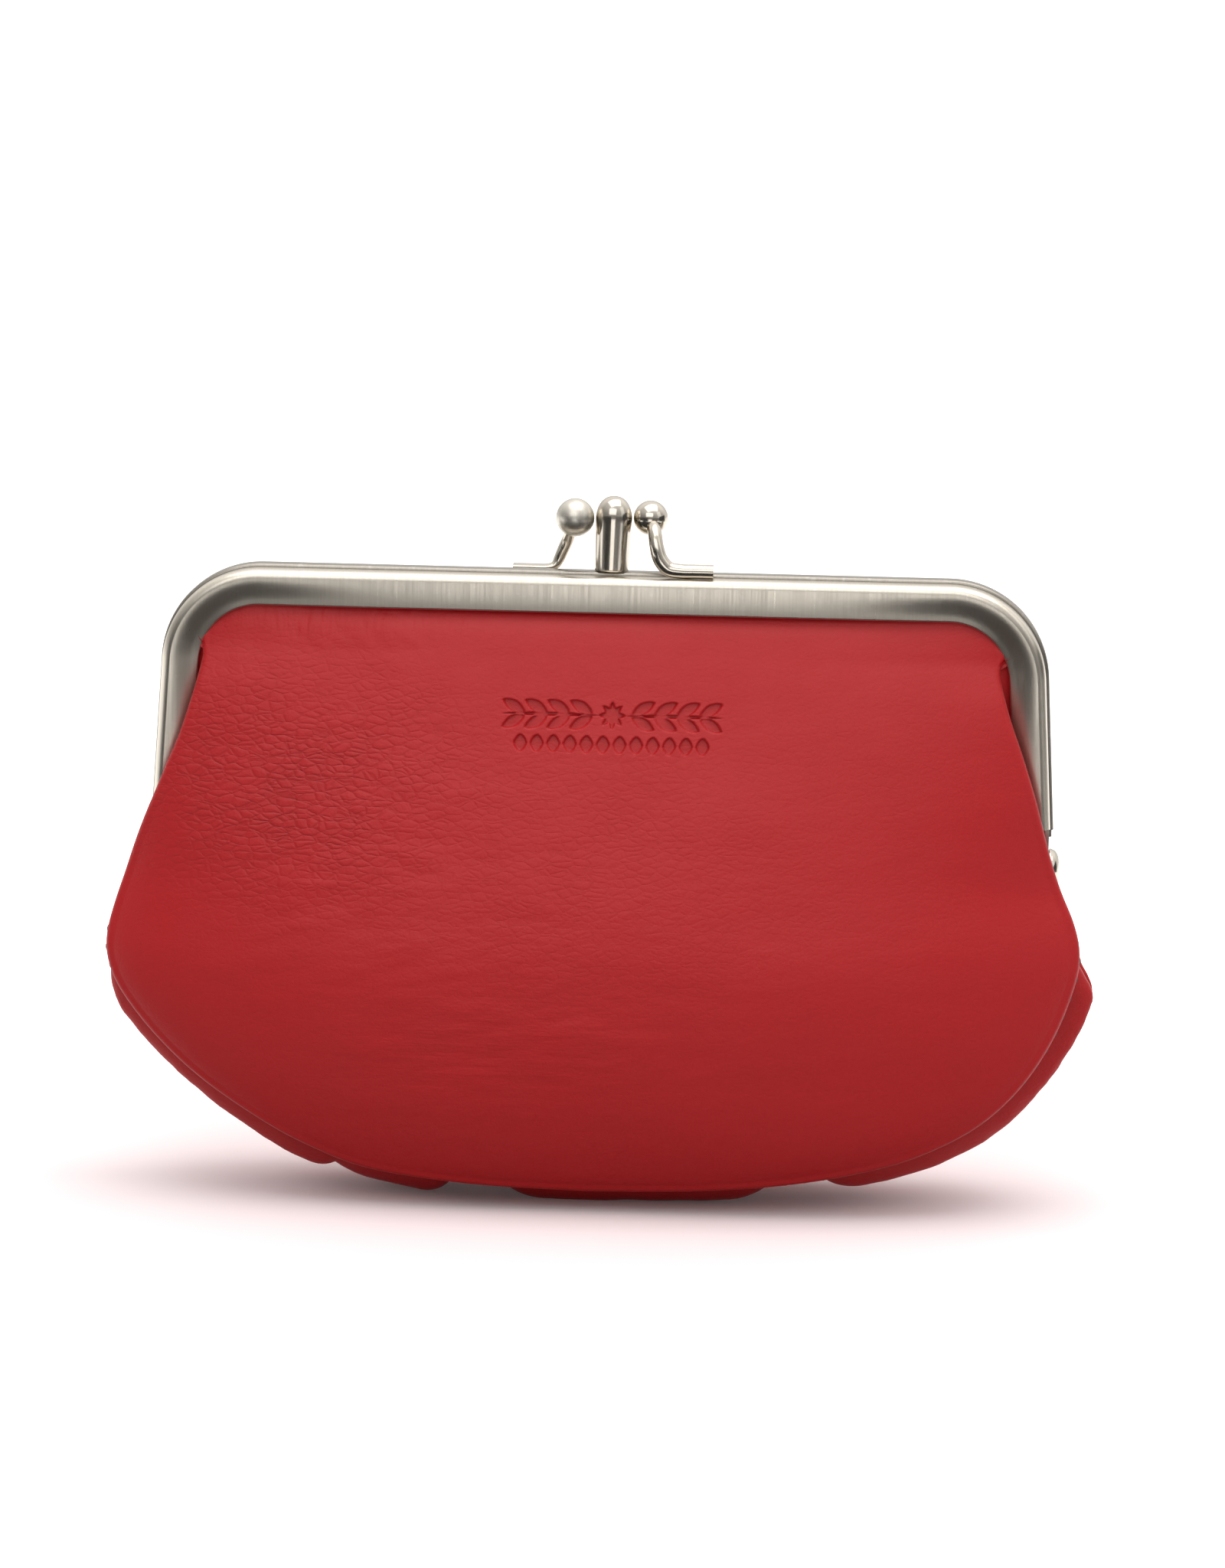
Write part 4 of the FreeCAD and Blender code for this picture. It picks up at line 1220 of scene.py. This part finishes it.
def build_world():
    """A pale room: brightest above and to the right, darker towards the front and the left."""
    world = bpy.data.worlds.new("studio")
    world.use_nodes = True
    tree = world.node_tree
    background = tree.nodes["Background"]
    where = tree.nodes.new("ShaderNodeTexCoord")
    split = tree.nodes.new("ShaderNodeSeparateXYZ")
    tree.links.new(where.outputs["Generated"], split.inputs["Vector"])

    def share(axis, low, high, amount):
        node = tree.nodes.new("ShaderNodeMapRange")
        node.interpolation_type = "SMOOTHSTEP"
        for name, value in (("From Min", low), ("From Max", high), ("To Min", 0.0), ("To Max", amount)):
            node.inputs[name].default_value = value
        tree.links.new(split.outputs[axis], node.inputs["Value"])
        return node.outputs["Result"]

    total = share("X", 0.1, 0.75, 0.20)
    for part in (share("Z", 0.2, 0.8, 0.5), share("Y", -0.1, 0.5, 0.45)):
        add = tree.nodes.new("ShaderNodeMath")
        tree.links.new(total, add.inputs[0])
        tree.links.new(part, add.inputs[1])
        total = add.outputs["Value"]
    lift = tree.nodes.new("ShaderNodeMath")
    lift.inputs[1].default_value = 0.30
    tree.links.new(total, lift.inputs[0])
    tree.links.new(lift.outputs["Value"], background.inputs["Strength"])
    background.inputs["Color"].default_value = (1.0, 0.99, 0.97, 1)
    bpy.context.scene.world = world


def stage_card(name, corners, grey, diffuse=False, glossy=True):
    """A card that only some rays see, as a studio sets cards round shiny things. It casts no shadow."""
    n = Nodes(name)
    n.set(Base_Color=n.ramp(n.noise(2.0, 2.0), [(0.3, grey), (0.7, grey * 1.1)]))
    n.set(Roughness=1.0, Specular_IOR_Level=0.0)
    card = make_mesh(name, np.array(corners, float), [(0, 1, 2, 3)], n.material)
    card.visible_camera = False
    card.visible_diffuse = diffuse
    card.visible_glossy = glossy
    card.visible_shadow = False
    card.visible_transmission = False


def build_backdrop():
    """A white dome behind everything, that only the camera sees."""
    n = Nodes("white_backdrop")
    tone = n.ramp(n.noise(0.3, 1.0), [(0.3, 0.99), (0.7, 1.0)])
    n.set(Base_Color=tone, Emission_Color=tone)
    n.set(Emission_Strength=1.05, Specular_IOR_Level=0.0, Roughness=1.0)
    radius, rings, count = 5.9, 12, 48
    points = []
    for rise in np.linspace(-0.05, math.pi / 2 - 0.02, rings):
        for turn in np.linspace(0, 2 * math.pi, count, endpoint=False):
            flat = radius * math.cos(rise)
            points.append((flat * math.cos(turn), flat * math.sin(turn), radius * math.sin(rise)))
    faces = grid_faces(rings, count, closed=True)
    faces.append(tuple(range((rings - 1) * count, rings * count)))
    dome = make_mesh("backdrop", np.array(points), faces, n.material)
    dome.visible_diffuse = False
    dome.visible_glossy = False
    dome.visible_transmission = False
    dome.visible_shadow = False


def upright(start, end, height):
    """The corners of a card that stands on the floor between two places."""
    return [(*start, 0), (*end, 0), (*end, height), (*start, height)]


def build_stage():
    wide = 6.0
    corners = [(-wide, -wide), (wide, -wide), (wide, wide), (-wide, wide)]
    flat = np.array([(x, y, 0) for x, y in corners], float)
    floor = make_mesh("floor", flat, [(0, 1, 2, 3)], pale_material())
    floor.visible_diffuse = False
    stage_card("bounce_card", [(x, y, -0.0005) for x, y in corners], 0.60, diffuse=True, glossy=False)
    build_world()
    build_backdrop()
    near = [(-0.30, -0.34), (0.30, -0.34), (0.30, -0.01), (-0.30, -0.01)]
    stage_card("near_card", [(x, y, 0.0004) for x, y in near], 0.03)
    stage_card("left_card", upright((-0.55, -0.22), (-0.085, -0.40), 0.16), 0.05)
    stage_card("front_card", upright((0.085, -0.40), (0.55, -0.30), 0.16), 0.16)
    stage_card("right_card", upright((0.42, -0.25), (0.42, 0.15), 0.20), 0.06)
    middle = (0, 0, 0.05)
    area_light("top_softbox", (0.05, -0.12, 0.80), middle, (0.9, 0.7), 3.6)
    area_light("front_softbox", (-0.10, -0.95, 0.62), middle, (0.9, 0.5), 2.15)
    area_light("right_softbox", (0.80, -0.35, 0.45), middle, (0.4, 0.6), 0.4)
    bpy.context.scene.view_settings.view_transform = "Standard"


CAMERA_AZIMUTH = math.radians(3.15)
CAMERA_ELEVATION = math.radians(8.5)
CAMERA_ROLL = math.radians(1.08)
CAMERA_DISTANCE = 0.85
VIEW_HEIGHT = 0.2235808
AIM = Vector((0.0018, -0.0052, 0.0605))


def build_camera():
    data = bpy.data.cameras.new("camera")
    data.sensor_width = 36.0
    data.lens = 36.0 * CAMERA_DISTANCE / VIEW_HEIGHT
    data.clip_start, data.clip_end = 0.02, 20.0
    obj = add_object("camera", data)
    level = math.cos(CAMERA_ELEVATION)
    x, y = math.sin(CAMERA_AZIMUTH) * level, -math.cos(CAMERA_AZIMUTH) * level
    back = Vector((x, y, math.sin(CAMERA_ELEVATION)))
    obj.location = AIM + back * CAMERA_DISTANCE
    turn = (-back).to_track_quat("-Z", "Y").to_matrix() @ Matrix.Rotation(CAMERA_ROLL, 3, "Z")
    obj.rotation_euler = turn.to_euler()
    bpy.context.scene.camera = obj


build_camera()
build_leather()
build_frame()
build_clasp()
finish_hidden_nodes()
build_stage()
